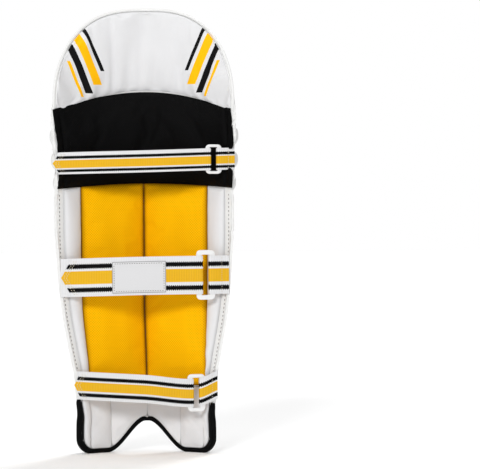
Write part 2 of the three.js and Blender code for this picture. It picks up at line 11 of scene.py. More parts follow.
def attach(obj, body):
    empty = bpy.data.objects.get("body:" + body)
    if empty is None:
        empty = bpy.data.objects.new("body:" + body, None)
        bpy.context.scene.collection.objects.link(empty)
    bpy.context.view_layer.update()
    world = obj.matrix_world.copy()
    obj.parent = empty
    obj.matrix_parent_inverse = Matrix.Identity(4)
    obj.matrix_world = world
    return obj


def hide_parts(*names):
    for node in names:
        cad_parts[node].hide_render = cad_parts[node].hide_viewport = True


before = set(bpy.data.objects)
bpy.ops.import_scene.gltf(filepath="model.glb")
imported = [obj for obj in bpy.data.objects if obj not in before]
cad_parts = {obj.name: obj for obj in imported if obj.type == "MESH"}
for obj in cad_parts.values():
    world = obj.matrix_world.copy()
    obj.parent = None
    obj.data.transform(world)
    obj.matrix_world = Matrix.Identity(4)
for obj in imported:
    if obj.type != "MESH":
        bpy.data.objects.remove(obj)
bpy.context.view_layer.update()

bl_info = {
    "name": "Cricket Batting Pad",
    "version": (1, 0, 0),
    "blender": (4, 5, 0),
    "location": "View3D > Sidebar > Batting Pad",
    "description": "Dresses a packed batting pad in padded leather, cloth, webbing and stitching",
    "category": "Object",
}

# Metres in a millimetre
MM = 0.001

# Board of the shell, in millimetres as the sizes below are
BOARD = 5.0
BOARD_BEVEL = 1.6
GAP = 0.6
SEAM_GAP = 1.2
MID_DEPTH_SHIFT = -33.234
CROSS_CURVE = 0.8

# Steps and samples of the curves
SLOPE_STEP = 0.25
OUTLINE_STEP = 2.0
OUTLINE_POINTS = 240
GIRTH_SAMPLES = 12
CROWDING = 0.95

# Waves that make leather and cloth uneven
WAVES = 8
WAVE_SIZES = (0.7, 1.6)
WAVE_SCALE = 4.5

# Sewing, and the simulation that swells the cloth
SEWN = "sewn"
SEAM_DISTANCE = "seam_distance"
SEAM_COARSENESS = 1.68
FLANGE_THREAD = 0.62
SIM_FRAMES = 20
CLOTH = {
    "quality": 5, "use_pressure": True, "uniform_pressure_force": 4.0, "tension_stiffness": 25.0,
    "compression_stiffness": 25.0, "bending_stiffness": 0.4,
}

# How the shell's half width, wrap towards the leg and middle line change with height
SECTIONS = (
    {"z": 0, "half": 106, "wrap": 56, "centre": -4},
    {"z": 45, "half": 106, "wrap": 58, "centre": -2.5},
    {"z": 85, "half": 103, "wrap": 60, "centre": -1},
    {"z": 130, "half": 107, "wrap": 64, "centre": 1},
    {"z": 220, "half": 122, "wrap": 72, "centre": 3},
    {"z": 310, "half": 130, "wrap": 77, "centre": 3},
    {"z": 404, "half": 131.5, "wrap": 77, "centre": 2},
    {"z": 455, "half": 133.5, "wrap": 75, "centre": 2},
    {"z": 543, "half": 136, "wrap": 68, "centre": 6},
    {"z": 690, "half": 136, "wrap": 52, "centre": 20},
)

# Dome, feet and edge trim
DOME_START = 543.0
DOME_POWER = 2.8
SHELL_TOP = 685.4
PIPING_RADIUS = 2.0
PIPING_TUCK = 1.2
PIPING_START = 516.0
PIPING_CORNERS = 12
BINDING_WIDTH = 5.5
BINDING_START = 85.0
BINDING_FULL = 52.0
BINDING_TOPS = {1.0: 86.0, -1.0: 80.0}
BINDING_LAP = {"sole": 3.6, "arch": 1.8, "side": 6.6}
BINDING_HALF_THICKNESS = 4.2
BINDING_SECTION = (18, 3.2)
BINDING_END = {"start": 2.0, "length": 8.0}
BINDING_NARROW = 0.45
BINDING_STRETCH = 0.6
FOOT_HALF = 100.5
SOLE_EDGE = 5.0
ARCH_RISE = 48.5
ARCH_INNER = 3.0
ARCH_OUTER = 64.0
ARCH_SIDE = (6.0, 20.0)
FOOT_CORNER_X = 86.0
FOOT_CORNER_RISE = 18.0

# Flange along the sides of the shell, which gathers beside the knee
FLANGE = 5.0
FLANGE_SHARE = 0.85
FLARE = 3.2
FLARE_RISE = (105.0, 150.0)
KNEE_RISE = (395.0, 425.0)
KNEE_FALL = (520.0, 550.0)
KNEE_FLANGE = {"out": 3.4, "uneven": 0.9}
GATHER = (0.15, 1.5)
STRAP_CLEARANCE = (15.0, 21.0)

# Padding on the strike face
FACE = BOARD / 2 + GAP
SEAT = BOARD / 2 + 0.05
RIM = 2.0
TOP_FACE_BOTTOM = 509.0
TOP_FACE_INSET = 3.2
TOP_SEAMS = (-1.0, -0.765, -0.487, -0.172, 0.172, 0.487, 0.765, 1.0)
TOP_RISE = 10.2
TOP_SEAM = {"share": 0.03, "floor": 0.5}
TOP_KNOB = {"rise": 14.0, "low": 16.0, "high": 34.0, "fall": 37.0, "ramp": 9.0, "wide": 0.88}
TOP_ENDS = {"top": 16.0, "bottom": 11.0}
TOP_PUCKER = {"depth": 0.25, "length": 9.0}
ROLLS = (
    {"name": "knee_roll_upper", "low": 473.0, "high": 509.0, "rise": 37.0, "reach": 0.985},
    {"name": "knee_roll_middle", "low": 437.6, "high": 471.4, "rise": 40.0, "reach": 0.975},
    {"name": "knee_roll_lower", "low": 402.0, "high": 436.0, "rise": 37.0, "reach": 0.97},
)
ROLL_END = {"length": 13.0, "tall": 0.55, "proud": 0.3}
ROLL_FALL = 0.42
ROLL_POWER = 0.8
RIB_TOP = 400.0
RIB_EDGES = (-97.5, -62.0, -21.0, 21.0, 62.0, 97.5)
RIB_TAPER = 0.045
RIB_ENDS = {"top": 11.0, "bottom": 14.0}
KNOB_DROP = 21.0
KNOB_HALF = 17.0
KNOB_SHARE = 0.44
RIB_TOE = {"rise": 8.0, "low": 14.0, "high": 33.0}
FOOT_TOE = {"rise": 7.5, "low": 18.0, "high": 32.0}
TOE_RAMP = 5.0
MIDDLE_RIB_BOTTOM = 131.0
INSTEP_TOP = 129.0
INSTEP_RISE = 13.0
SIDE_PANEL_RISE = 9.0
SIDE_PANEL_REACH = 0.965
SIDE_PANEL_FOOT_REACH = 0.93
SIDE_PANEL_FOOT = (45.0, 100.0)
SIDE_PANEL_ENDS = {"top": 12.0, "bottom": 60.0}
EDGE_CLEARANCE = 1.5

# Cushions and linings on the leg side
CRADLE_HALF = 126.0
CRADLE_TOP = {"sides": 529.0, "rise": 32.0}
CRADLE_BOTTOM = {"sides": 409.0, "rise": 9.0}
CRADLE_SIDE_THICKNESS = 3.0
CRADLE_LAPS = {1.0: ((405.0, 440.0, 480.0, 530.0), (3.3, 0.5, 1.0, 5.5)),
               -1.0: ((405.0, 480.0, 540.0), (6.0, 5.6, -1.0))}
CRADLE_PINCH = -3.4
CRADLE_END_LIFT = 2.0
CRADLE_END = (0.88, 0.96)
CRADLE_STRAP_CLEARANCE = (12.0, 17.0)
CRADLE_FOLD = {"at": 0.9436, "wide": 0.014, "depth": 0.8, "sewn": 0.004}
BOLSTER = {"bottom": 105.0, "inner": 0.15, "wide": 240.0, "lean": 3.0, "tuck": 1.3}
BOLSTER_OUTER = {1.0: (92.5, 102.0), -1.0: (98.5, 99.5)}
LINING_TOP = 103.0
LINING_SEAMS = (-1.0, -0.92, -0.543, 0.0, 0.58, 0.903, 1.0)
LINING_INSET = 1.5
LINING_CLEARANCE = 2.4
LINING_RISE = 8.0
CLOSED = 0.3
WING_RISE = 11.0
WING_SLACK = {"foot": 1.8, "leg": 0.35, "up": 0.3}
TOP_LINING_INSET = 0.5
TOP_LINING_RISE = 11.0
TOP_LINING_FOLDS = (0.5, 3.6)

# Share of its depth that a cloth piece has before it swells
CUT = {"top_lining": 0.6, "cradle": 0.82, "bolster": 0.8, "wing": 0.75, "instep_lining": 0.6}

# Reach of the painted shade along a seam and how fast it fades, and the tone of that painted shade on the
# lining
LINING_PAINTED_SHADE = (1.6, 1.2)
CUSHION_PAINTED_SHADE = (7.0, 2.5)
WING_PAINTED_SHADE_TONE = 0.75
INSTEP_PAINTED_SHADE_TONE = 0.3

# Straps and buckles
WEBBING = 1.5
WEBBING_ROWS = 14
LAYER_OFFSET = 0.95
STRAP_BOW = 20.0
STRAP_OVERHANG = 3.2
TIP_WIDTH = 2.0
SELVEDGE = {"thin": 0.35, "power": 12}
BUCKLE_THICKNESS = 3.5
BUCKLE_CORNER = 6.5
WINDOW_CORNER = 1.6
WINDOW_SLACK = 1.5
BUCKLE_SECTION = (16, 3.4)
BAR_OFFSET = 2.9
TURN_DEPTH = 1.15
TURN_FLAT = 1.9
CONVERGE = 9.0
STRAP_RUN = {"clear": 6.0, "count": 40, "step": 1.6}
TAB_RUN = {"clear": 2.0, "count": 8, "step": 1.2}
STRAPS = (
    {"name": "knee", "width": 33.5, "seat": 0.75, "tip": 139.0, "point": 11.0, "tab": -139.0,
     "heights": (448.4, 450.4, 453.4, 454.4), "buckle": -107.0, "long": 25.5, "tall": 45.0, "bar": 6.7,
     "stripe": (0.460, 0.183), "lines": ((0.152, 0.062), (0.763, 0.066))},
    {"name": "calf", "width": 58.5, "seat": 0.75, "tip": 127.0, "point": 17.0, "tab": -129.0,
     "heights": (272.9, 275.8, 276.5, 276.7), "buckle": -93.8, "long": 29.4, "tall": 76.0, "bar": 8.6,
     "stripe": (0.494, 0.172), "lines": ((0.173, 0.060), (0.788, 0.060))},
    {"name": "ankle", "width": 43.5, "seat": 1.1, "tip": 109.0, "point": 11.0, "tab": -110.0,
     "heights": (107.8, 102.3, 95.2, 106.8), "buckle": -78.0, "long": 28.4, "tall": 58.0, "bar": 8.2,
     "stripe": (0.470, 0.163), "lines": ((0.175, 0.066), (0.752, 0.064))},
)
# The border is the width of the painted shadow along the label's edge
LABEL = {"x": 7.5, "across": -1.8, "long": 81.5, "tall": 48.0, "thickness": 0.9, "border": 1.1,
         "lift": 0.15, "ripple": 0.25}

# Places of the stitches: over each surface, and from the edges that they follow
STITCH_LIFT = {"face": 0.3, "flange": 0.2, "strap": 0.1, "label": 0.2}
TOP_STITCHES = {"bottom": 3.0, "top": 2.0}
DOME_STITCHES = 0.985
FLANGE_STITCHES = {"bottom": 40.0, "top": 4.0}
TAB_STITCHES = (6.0, 9.5)
TIP_STITCHES = (4.0, 8.0)
STRAP_STITCH_INSET = 2.0
LABEL_STITCH_INSET = 3.0

# The photograph's frame on the plane of the straps, in metres, and the camera that takes it
FRAME_WIDTH = 0.7464
FRAME_PLANE = -0.013
FRAME_CENTRE = (-0.1467, 0.3378)
FRAME_ROLL = math.radians(0.4)
LENS = 200.0
SENSOR = 36.0

# Light of the studio
SKY_LIGHT = 0.32
LIGHTS = (
    {"name": "Leg side light", "direction": (0.2, 1.0, 0.42), "energy": 1.6, "softness": 12.0},
    {"name": "Strike side light", "direction": (-0.4, -1.0, 0.7), "energy": 1.6, "softness": 20.0},
    {"name": "Top light", "direction": (0.1, 0.1, 1.0), "energy": 1.3, "softness": 60.0},
)


# Values that a user would change

def length_property(name, description, default, low, high):
    """Length between two limits, in metres."""
    return FloatProperty(
        name=name, description=description, default=default, min=low, max=high, subtype="DISTANCE",
        unit="LENGTH")


def colour_property(name, description, default):
    """Colour of a material."""
    return FloatVectorProperty(
        name=name, description=description, default=default, min=0.0, max=1.0, subtype="COLOR")


class PadSizes(bpy.types.PropertyGroup):
    """Sizes of the padding and the sewing that a user would change"""

    rib_rise: length_property("Rib rise", "How far the ribs stand out from the shell", 0.018, 0.008, 0.024)
    knob_rise: length_property(
        "Knob rise", "How far the round knobs stand out from the ribs", 0.011, 0.0, 0.014)
    cradle_depth: length_property(
        "Cradle depth", "Thickness of the knee cradle at its middle", 0.030, 0.012, 0.034)
    bolster_depth: length_property("Bolster depth", "Thickness of the shin bolsters", 0.020, 0.010, 0.022)
    stitch_length: length_property("Stitch length", "Length of one stitch", 0.0020, 0.001, 0.006)
    stitch_gap: length_property("Stitch gap", "Space between two stitches", 0.0017, 0.0005, 0.004)
    thread_radius: length_property("Thread radius", "Radius of the sewing thread", 0.00055, 0.0002, 0.001)
    mesh_pitch: FloatProperty(
        name="Mesh pitch", description="Spacing of the diagonal mesh on the cushions, in millimetres",
        default=4.0, min=1.0, max=6.0)
    grain_size: length_property(
        "Grain size", "Size of one pebble of the leather's grain", 0.0011, 0.0004, 0.004)


class PadColours(bpy.types.PropertyGroup):
    """Colours of the pad's leather, cloth, webbing and plastic"""

    leather: colour_property("Leather", "Colour of the white leather", (0.76, 0.76, 0.75))
    lining: colour_property("Lining", "Colour of the white lining cloth", (0.72, 0.72, 0.73))
    black: colour_property("Black cloth", "Colour of the black cloth and binding", (0.0020, 0.0020, 0.0022))
    cradle: colour_property("Cradle black", "Colour of the knee cradle", (0.0026, 0.0026, 0.0028))
    yellow: colour_property("Cushion yellow", "Colour of the shin bolsters", (1.0, 0.50, 0.0))
    # Painted shade that darkens the shin bolsters deep in their middle seam and along their rims
    seam: colour_property(
        "Painted cushion seam shade", "Colour deep in the seam between the shin bolsters", (0.15, 0.05, 0.0))
    webbing: colour_property(
        "Webbing yellow", "Colour of the yellow stripe of the webbing", (0.75, 0.415, 0.009))
    thread: colour_property("Thread", "Colour of the sewing thread", (0.11, 0.10, 0.09))
    webbing_thread: colour_property(
        "Webbing thread", "Colour of the thread that sews the straps", (0.58, 0.52, 0.40))
    plastic: colour_property("Buckle plastic", "Colour of the moulded buckles", (0.77, 0.77, 0.77))
    floor: colour_property("Floor", "Colour of the studio floor", (0.93, 0.93, 0.93))


# Curves of the pad

def lerp(low, high, share):
    """Value that lies a share of the way from low to high."""
    return low + (high - low) * share


def smoothstep(at, low, high):
    """Smooth rise from 0 at low to 1 at high."""
    share = np.clip((at - low) / (high - low), 0.0, 1.0)
    return share * share * (3.0 - 2.0 * share)


def through(keys, values, at):
    """Smooth curve through values given at rising keys."""
    keys = np.asarray(keys, float)
    values = np.asarray(values, float)
    at = np.clip(at, keys[0], keys[-1])
    i = np.clip(np.searchsorted(keys, at) - 1, 0, len(keys) - 2)
    before = np.maximum(i - 1, 0)
    after = np.minimum(i + 2, len(keys) - 1)
    span = keys[i + 1] - keys[i]
    slope_from = (values[i + 1] - values[before]) / (keys[i + 1] - keys[before]) * span
    slope_to = (values[after] - values[i]) / (keys[after] - keys[i]) * span
    s = (at - keys[i]) / span
    eased = values[i] + (values[i + 1] - values[i]) * s * s * (3.0 - 2.0 * s)
    return eased + s * (1.0 - s) * (slope_from * (1.0 - s) - slope_to * s)


def section(column, z):
    """One column of the sections table at a height."""
    return through([row["z"] for row in SECTIONS], [row[column] for row in SECTIONS], z)


def half_width(z):
    """Half width of the pad with its binding."""
    return section("half", z)


def shell_half(z):
    """Half width of the shell, which makes room for the binding at the feet."""
    return half_width(z) - BINDING_WIDTH * (1.0 - smoothstep(z, BINDING_FULL, BINDING_START))


def surface_y(x, z):
    """Depth of the shell's middle surface."""
    share = CROSS_CURVE * np.abs(x) / half_width(z)
    curve = 1.0 - np.sqrt(np.maximum(0.0, 1.0 - share * share))
    deepest = 1.0 - math.sqrt(1.0 - CROSS_CURVE * CROSS_CURVE)
    return section("centre", z) + section("wrap", z) * curve / deepest + MID_DEPTH_SHIFT


def unit(vectors):
    """Vectors of length 1 along the last axis."""
    return vectors / np.linalg.norm(vectors, axis=-1, keepdims=True)


def surface_normal(x, z):
    """Direction out of the strike side of the shell."""
    across = (surface_y(x + SLOPE_STEP, z) - surface_y(x - SLOPE_STEP, z)) / (2 * SLOPE_STEP)
    up = (surface_y(x, z + SLOPE_STEP) - surface_y(x, z - SLOPE_STEP)) / (2 * SLOPE_STEP)
    return unit(np.stack((across, -np.ones_like(across), up), axis=-1))


def on_pad(x, z, height):
    """Points at a height over the shell's middle surface, which is negative on the leg side."""
    x, z, height = np.broadcast_arrays(np.asarray(x, float), np.asarray(z, float), height)
    points = np.stack((x, surface_y(x, z), z), axis=-1)
    return points + surface_normal(x, z) * height[..., None]


def girth(x, z):
    """Distance round the shell from its middle line."""
    steps = (np.arange(GIRTH_SAMPLES) + 0.5) / GIRTH_SAMPLES
    xs = x[:, None] * steps
    zs = np.broadcast_to(z[:, None], xs.shape)
    slope = (surface_y(xs + SLOPE_STEP, zs) - surface_y(xs - SLOPE_STEP, zs)) / (2 * SLOPE_STEP)
    return x * np.sqrt(1.0 + slope * slope).mean(axis=1)


def dome_edge(share, crown):
    """Height of the domed top at a share of the half width."""
    share = np.minimum(np.abs(share), 1.0)
    return DOME_START + (crown - DOME_START) * np.sqrt(1.0 - share ** DOME_POWER)


def bottom_edge(x):
    """Height of the shell's lower edge: two feet with an arch between them."""
    arch = ARCH_RISE * (1.0 - smoothstep(np.abs(x), ARCH_INNER, ARCH_OUTER))
    corner = np.maximum(0.0, np.abs(x) - FOOT_CORNER_X) / (FOOT_HALF - FOOT_CORNER_X)
    return SOLE_EDGE + arch + FOOT_CORNER_RISE * (1.0 - np.sqrt(np.maximum(0.0, 1.0 - corner * corner)))


def spread(across):
    """Share of the half width, with more points near the sides."""
    turn = 0.5 * math.pi * CROWDING
    return np.sin((2.0 * across - 1.0) * turn) / math.sin(turn)


def puff(share, power=2.4):
    """Rounded profile of padding between two seams."""
    return np.sqrt(np.maximum(0.0, 1.0 - np.abs(2.0 * share - 1.0) ** power))


def round_end(distance, length):
    """Rounded fall of padding towards an end."""
    rest = np.clip(1.0 - distance / length, 0.0, 1.0)
    return np.sqrt(1.0 - rest * rest)


def lobes(across, seams):
    """Lobe between seams at a share across, the place in it, and the share of the half width."""
    count = len(seams) - 1
    lobe = np.clip(np.floor(across * count + 1e-6), 0, count - 1).astype(int)
    place = np.clip(across * count - lobe, 0.0, 1.0)
    seams = np.asarray(seams)
    return lobe, place, lerp(seams[lobe], seams[lobe + 1], place)


def unevenness(u, v, size, seed):
    """Smooth unevenness of about -1 to 1 with bumps of a given size."""
    rng = np.random.default_rng(seed)
    total = np.zeros_like(u)
    for _ in range(WAVES):
        turn, phase = rng.uniform(0.0, 2.0 * math.pi, 2)
        wave = size * rng.uniform(*WAVE_SIZES)
        total += np.sin((u * math.cos(turn) + v * math.sin(turn)) * 2.0 * math.pi / wave + phase)
    return total / WAVE_SCALE


# Meshes

def set_uv(bm, uv):
    """Gives each corner the place of its vertex on the cloth."""
    layer = bm.loops.layers.uv.new("Surface")
    bm.verts.index_update()
    for face in bm.faces:
        for loop in face.loops:
            loop[layer].uv = uv[loop.vert.index]


def move_verts(bm, points):
    """Moves the vertices to points in millimetres."""
    for vert, point in zip(bm.verts, points * MM):
        vert.co = point


def sheet(columns, rows):
    """Closed slab of unit size, with the places of its vertices.

    Its edges and faces are put in order, because the order that solidify leaves changes from run to run.
    """
    bm = bmesh.new()
    bmesh.ops.create_grid(bm, x_segments=columns, y_segments=rows, size=0.5)
    bmesh.ops.solidify(bm, geom=bm.faces[:], thickness=1.0)
    bm.verts.index_update()

    def rank(part):
        places = [vert.index for vert in part.verts]
        return min(places) * len(bm.verts) + max(places)

    bm.edges.sort(key=rank)
    bm.faces.sort(key=rank)
    return bm, np.array([vert.co for vert in bm.verts])


def quilt(columns, rows, spot, cloth=False, seam=None):
    """Closed padded mesh over the pad, with a map of its surface and its sewing where it is cloth.

    Spot takes shares across and up the piece, and gives x, z and the heights of its two faces.
    The board side, the rim and the points that seam picks out are sewn, and the last two stay sharp.
    """
    bm, flat = sheet(columns, rows)
    across, up = flat[:, 0] + 0.5, flat[:, 1] + 0.5
    x, z, strike, leg = spot(across, up)
    on_leg_side = flat[:, 2] < -0.5
    move_verts(bm, on_pad(x, z, np.where(on_leg_side, leg, strike)))
    if cloth:
        set_uv(bm, np.column_stack((girth(x, z), z)))
        lines = np.abs(flat[:, :2]).max(axis=1) > 0.4999
        if seam:
            lines |= seam(across, up)
        # Distance of each point from the seams and the rim, over which the cloth's painted seam shade fades
        beside = np.minimum(across, 1.0 - across) * np.ptp(x)
        beyond = np.minimum(up, 1.0 - up) * np.ptp(z)
        away = bm.verts.layers.float.new(SEAM_DISTANCE)
        for vert, distance in zip(bm.verts, np.where(lines, 0.0, np.minimum(beside, beyond))):
            vert[away] = distance
        on_board = on_leg_side if strike.mean() > 0.0 else ~on_leg_side
        mark_sewn(bm, lines | on_board, lines)
    return bm


def mark_sewn(bm, held, lines):
    """Marks the points that the sewing holds, and makes the edges along its lines sharp."""
    sewn = bm.verts.layers.int.new(SEWN)
    for vert in bm.verts:
        vert[sewn] = int(held[vert.index])
    crease = bm.edges.layers.float.new("crease_edge")
    for edge in bm.edges:
        edge[crease] = float(all(lines[vert.index] for vert in edge.verts))


def swell(piece, slack, reach):
    """Swells a padded piece by cloth simulation with its sewn points held, and keeps its new shape.

    Slack is the share by which the cloth is cut larger than its place.
    Reach is the most that a point moves, in millimetres.
    """
    mesh = piece.data
    held = np.zeros(len(mesh.vertices), np.int32)
    mesh.attributes[SEWN].data.foreach_get("value", held)
    mesh.attributes.remove(mesh.attributes[SEWN])
    group = piece.vertex_groups.new(name=SEWN)
    group.add(np.flatnonzero(held).tolist(), 1.0, "REPLACE")
    cloth = piece.modifiers.new("Cloth", "CLOTH")
    for name, value in CLOTH.items():
        setattr(cloth.settings, name, value)
    cloth.settings.vertex_group_mass = group.name
    cloth.settings.effector_weights.gravity = 0.0
    cloth.settings.shrink_min = -slack
    cloth.point_cache.frame_end = SIM_FRAMES
    before = np.array([vert.co for vert in mesh.vertices])
    scene = bpy.context.scene
    for step in range(1, SIM_FRAMES + 1):
        scene.frame_set(step)
    swollen = piece.evaluated_get(bpy.context.evaluated_depsgraph_get())
    moved = np.array([vert.co for vert in swollen.data.vertices]) - before
    piece.modifiers.remove(cloth)
    piece.vertex_groups.remove(group)
    scene.frame_set(1)
    far = np.linalg.norm(moved, axis=1, keepdims=True)
    moved *= np.minimum(1.0, reach * MM / np.maximum(far, 1e-9))
    mesh.vertices.foreach_set("co", (before + moved).ravel())
    mesh.update()
    smooth = piece.modifiers.new("Smooth cloth", "SUBSURF")
    smooth.levels = 2
    smooth.render_levels = 2
    smooth.boundary_smooth = "PRESERVE_CORNERS"


def distances(points):
    """Distance along a path at each of its points."""
    return np.concatenate(([0.0], np.cumsum(np.linalg.norm(np.diff(points, axis=0), axis=1))))


def sweep(rings, closed=False):
    """Tube through rings of points, given as an array of rings by corners by three."""
    if closed:
        rings = np.concatenate((rings, rings[:1]))
    count, corners = rings.shape[:2]
    rings = np.concatenate((rings, rings[:, :1]), axis=1)
    bm = bmesh.new()
    bmesh.ops.create_grid(bm, x_segments=count - 1, y_segments=corners, size=0.5)
    move_verts(bm, rings.transpose(1, 0, 2).reshape(-1, 3))
    walked = distances(rings.mean(axis=1))
    around = np.arange(corners + 1) / corners
    set_uv(bm, np.column_stack((np.tile(walked, corners + 1), np.repeat(around, count))))
    bmesh.ops.remove_doubles(bm, verts=bm.verts[:], dist=1e-6)
    rims = [edge for edge in bm.edges if edge.is_boundary]
    if rims:
        bmesh.ops.holes_fill(bm, edges=rims, sides=0)
    bmesh.ops.recalc_face_normals(bm, faces=bm.faces[:])
    return bm


def ribbon(path, lean, heights, width, point=0.0):
    """Flat webbing along a path in plan, as wide as the strap, with a point of some length at its end."""
    bm, flat = sheet(len(path) - 1, WEBBING_ROWS)
    i = np.rint((flat[:, 0] + 0.5) * (len(path) - 1)).astype(int)
    walked = distances(path)
    narrow = np.ones(len(path))
    if point:
        narrow = np.clip((walked[-1] - walked) / point, TIP_WIDTH / width, 1.0)
    along = np.gradient(path, axis=0)
    side = unit(np.column_stack((-along[:, 1], along[:, 0])))
    offset = flat[:, 1] * width * narrow[i]
    selvedge = 1.0 - SELVEDGE["thin"] * np.abs(2.0 * flat[:, 1]) ** SELVEDGE["power"]
    layer = np.where(flat[:, 2] < -0.5, -0.5, 0.5) * WEBBING * selvedge
    plan = path[i] + side[i] * layer[:, None]
    z = heights[i] + offset
    y = plan[:, 1] + lean(z)
    move_verts(bm, np.column_stack((plan[:, 0], y, z)))
    set_uv(bm, np.column_stack((walked[i], offset / width + 0.5)))
    bmesh.ops.recalc_face_normals(bm, faces=bm.faces[:])
    return bm


def rounded_path(points, step):
    """Even path through points with its corners rounded off."""
    points = np.asarray(points, float)
    for _ in range(3):
        cut = np.empty((2 * len(points) - 2, 2))
        cut[0::2] = lerp(points[:-1], points[1:], 0.25)
        cut[1::2] = lerp(points[:-1], points[1:], 0.75)
        points = np.concatenate((points[:1], cut, points[-1:]))
    return even_path(points, step)


def even_path(points, step):
    """Points at even distances along a path."""
    walked = distances(points)
    at = np.linspace(0.0, walked[-1], max(2, int(round(walked[-1] / step))) + 1)
    return np.stack([np.interp(at, walked, column) for column in np.asarray(points).T], axis=-1)


def sew(bm, sizes, points, normals, coarse=1.0, thickness=1.0):
    """Adds one small capsule of thread, larger where the sewing is coarse, for each stitch of a line."""
    step = coarse * (sizes.stitch_length + sizes.stitch_gap) / MM
    placed = even_path(np.column_stack((points, normals)), step / 2)
    run = bmesh.new()
    for i in range(1, len(placed) - 1, 2):
        along = Vector(placed[i + 1, :3] - placed[i - 1, :3]).normalized()
        out = Vector(placed[i, 3:]).normalized()
        side = out.cross(along).normalized()
        turn = Matrix((side, along.cross(side), along)).transposed().to_4x4()
        thread = coarse * thickness * sizes.thread_radius
        size = Matrix.Diagonal((thread, thread, coarse * sizes.stitch_length / 2, 1.0))
        place = Matrix.Translation(Vector(placed[i, :3]) * MM)
        bmesh.ops.create_uvsphere(
            run, u_segments=6, v_segments=5, radius=1.0, matrix=place @ turn @ size, calc_uvs=False)
    sewn = bpy.data.meshes.new("sewn_run")
    run.to_mesh(sewn)
    run.free()
    bm.from_mesh(sewn)
    bpy.data.meshes.remove(sewn)


def add_piece(name, bm, material, node=None, sharp=50.0):
    """Makes a bmesh a shown piece of the pad."""
    mesh = bpy.data.meshes.new(name)
    bm.to_mesh(mesh)
    bm.free()
    mesh.shade_smooth()
    mesh.set_sharp_from_angle(angle=math.radians(sharp))
    mesh.materials.append(material)
    piece = bpy.data.objects.new(name, mesh)
    bpy.context.scene.collection.objects.link(piece)
    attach(piece, "root")
    if node:
        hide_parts(node)
    return piece


# Materials

class Shade:
    """Adds nodes to a material or a node group and joins them."""

    def __init__(self, tree):
        self.tree = tree

    def node(self, kind, **settings):
        """Adds a node with settings of its own."""
        node = self.tree.nodes.new(kind)
        for name, value in settings.items():
            setattr(node, name, value)
        return node

    def feed(self, socket, value):
        """Joins a socket to another, or sets its value."""
        if isinstance(value, bpy.types.NodeSocket):
            self.tree.links.new(value, socket)
        else:
            socket.default_value = value

    def math(self, operation, *values):
        """One step of arithmetic."""
        node = self.node("ShaderNodeMath", operation=operation)
        for socket, value in zip(node.inputs, values):
            self.feed(socket, value)
        return node.outputs[0]

    def mix(self, factor, low, high):
        """Colour that goes from low to high with a factor."""
        node = self.node("ShaderNodeMix", data_type="RGBA")
        self.feed(node.inputs[0], factor)
        self.feed(node.inputs[6], low)
        self.feed(node.inputs[7], high)
        return node.outputs[2]

    def span(self, value, low, high):
        """Value of 0 to 1 laid between two limits."""
        node = self.node("ShaderNodeMapRange")
        self.feed(node.inputs["Value"], value)
        node.inputs["To Min"].default_value = low
        node.inputs["To Max"].default_value = high
        return node.outputs[0]

    def noise(self, vector, scale, detail=3.0):
        """Cloudy noise."""
        node = self.node("ShaderNodeTexNoise")
        self.feed(node.inputs["Vector"], vector)
        self.feed(node.inputs["Scale"], scale)
        node.inputs["Detail"].default_value = detail
        return node.outputs["Fac"]

    def tones(self, factor, colour, low, high):
        """Colour that goes from a low to a high tone of itself with a factor."""
        return self.mix(factor, rgba(colour, low), rgba(colour, high))

    def on_cloth(self):
        """Place on the surface map of the cloth."""
        return self.node("ShaderNodeUVMap", uv_map="Surface").outputs[0]

    def on_piece(self):
        """Place in the piece's own coordinates."""
        return self.node("ShaderNodeTexCoord").outputs["Object"]

    def split(self, vector):
        """The first two parts of a vector."""
        node = self.node("ShaderNodeSeparateXYZ")
        self.feed(node.inputs[0], vector)
        return node.outputs[0], node.outputs[1]

    def group(self, tree, **values):
        """Places a node group with its own values."""
        node = self.node("ShaderNodeGroup", node_tree=tree)
        for name, value in values.items():
            self.feed(node.inputs[name], value)
        return node.outputs


def new_group(name, inputs, outputs):
    """Empty shader node group with named sockets."""
    tree = bpy.data.node_groups.new(name, "ShaderNodeTree")
    for title, kind, default in inputs:
        socket = tree.interface.new_socket(title, in_out="INPUT", socket_type=kind)
        if default is not None:
            socket.default_value = default
    for title in outputs:
        tree.interface.new_socket(title, in_out="OUTPUT", socket_type="NodeSocketFloat")
    shade = Shade(tree)
    return tree, shade, shade.node("NodeGroupInput").outputs, shade.node("NodeGroupOutput").inputs


def pebble_grain():
    """Node group with the pebbled grain and the cloudy tone of coated leather."""
    name = "Pebble grain"
    if name in bpy.data.node_groups:
        return bpy.data.node_groups[name]
    tree, shade, given, result = new_group(
        name,
        (("Vector", "NodeSocketVector", None), ("Size", "NodeSocketFloat", 0.001)),
        ("Height", "Tone"))
    scale = shade.math("DIVIDE", 1.0, given["Size"])
    cells = shade.node("ShaderNodeTexVoronoi", feature="SMOOTH_F1")
    shade.feed(cells.inputs["Vector"], given["Vector"])
    shade.feed(cells.inputs["Scale"], scale)
    cells.inputs["Smoothness"].default_value = 0.4
    shade.feed(result["Height"], shade.math("SUBTRACT", 1.0, cells.outputs["Distance"]))
    shade.feed(result["Tone"], shade.noise(given["Vector"], shade.math("MULTIPLY", scale, 0.03)))
    return tree


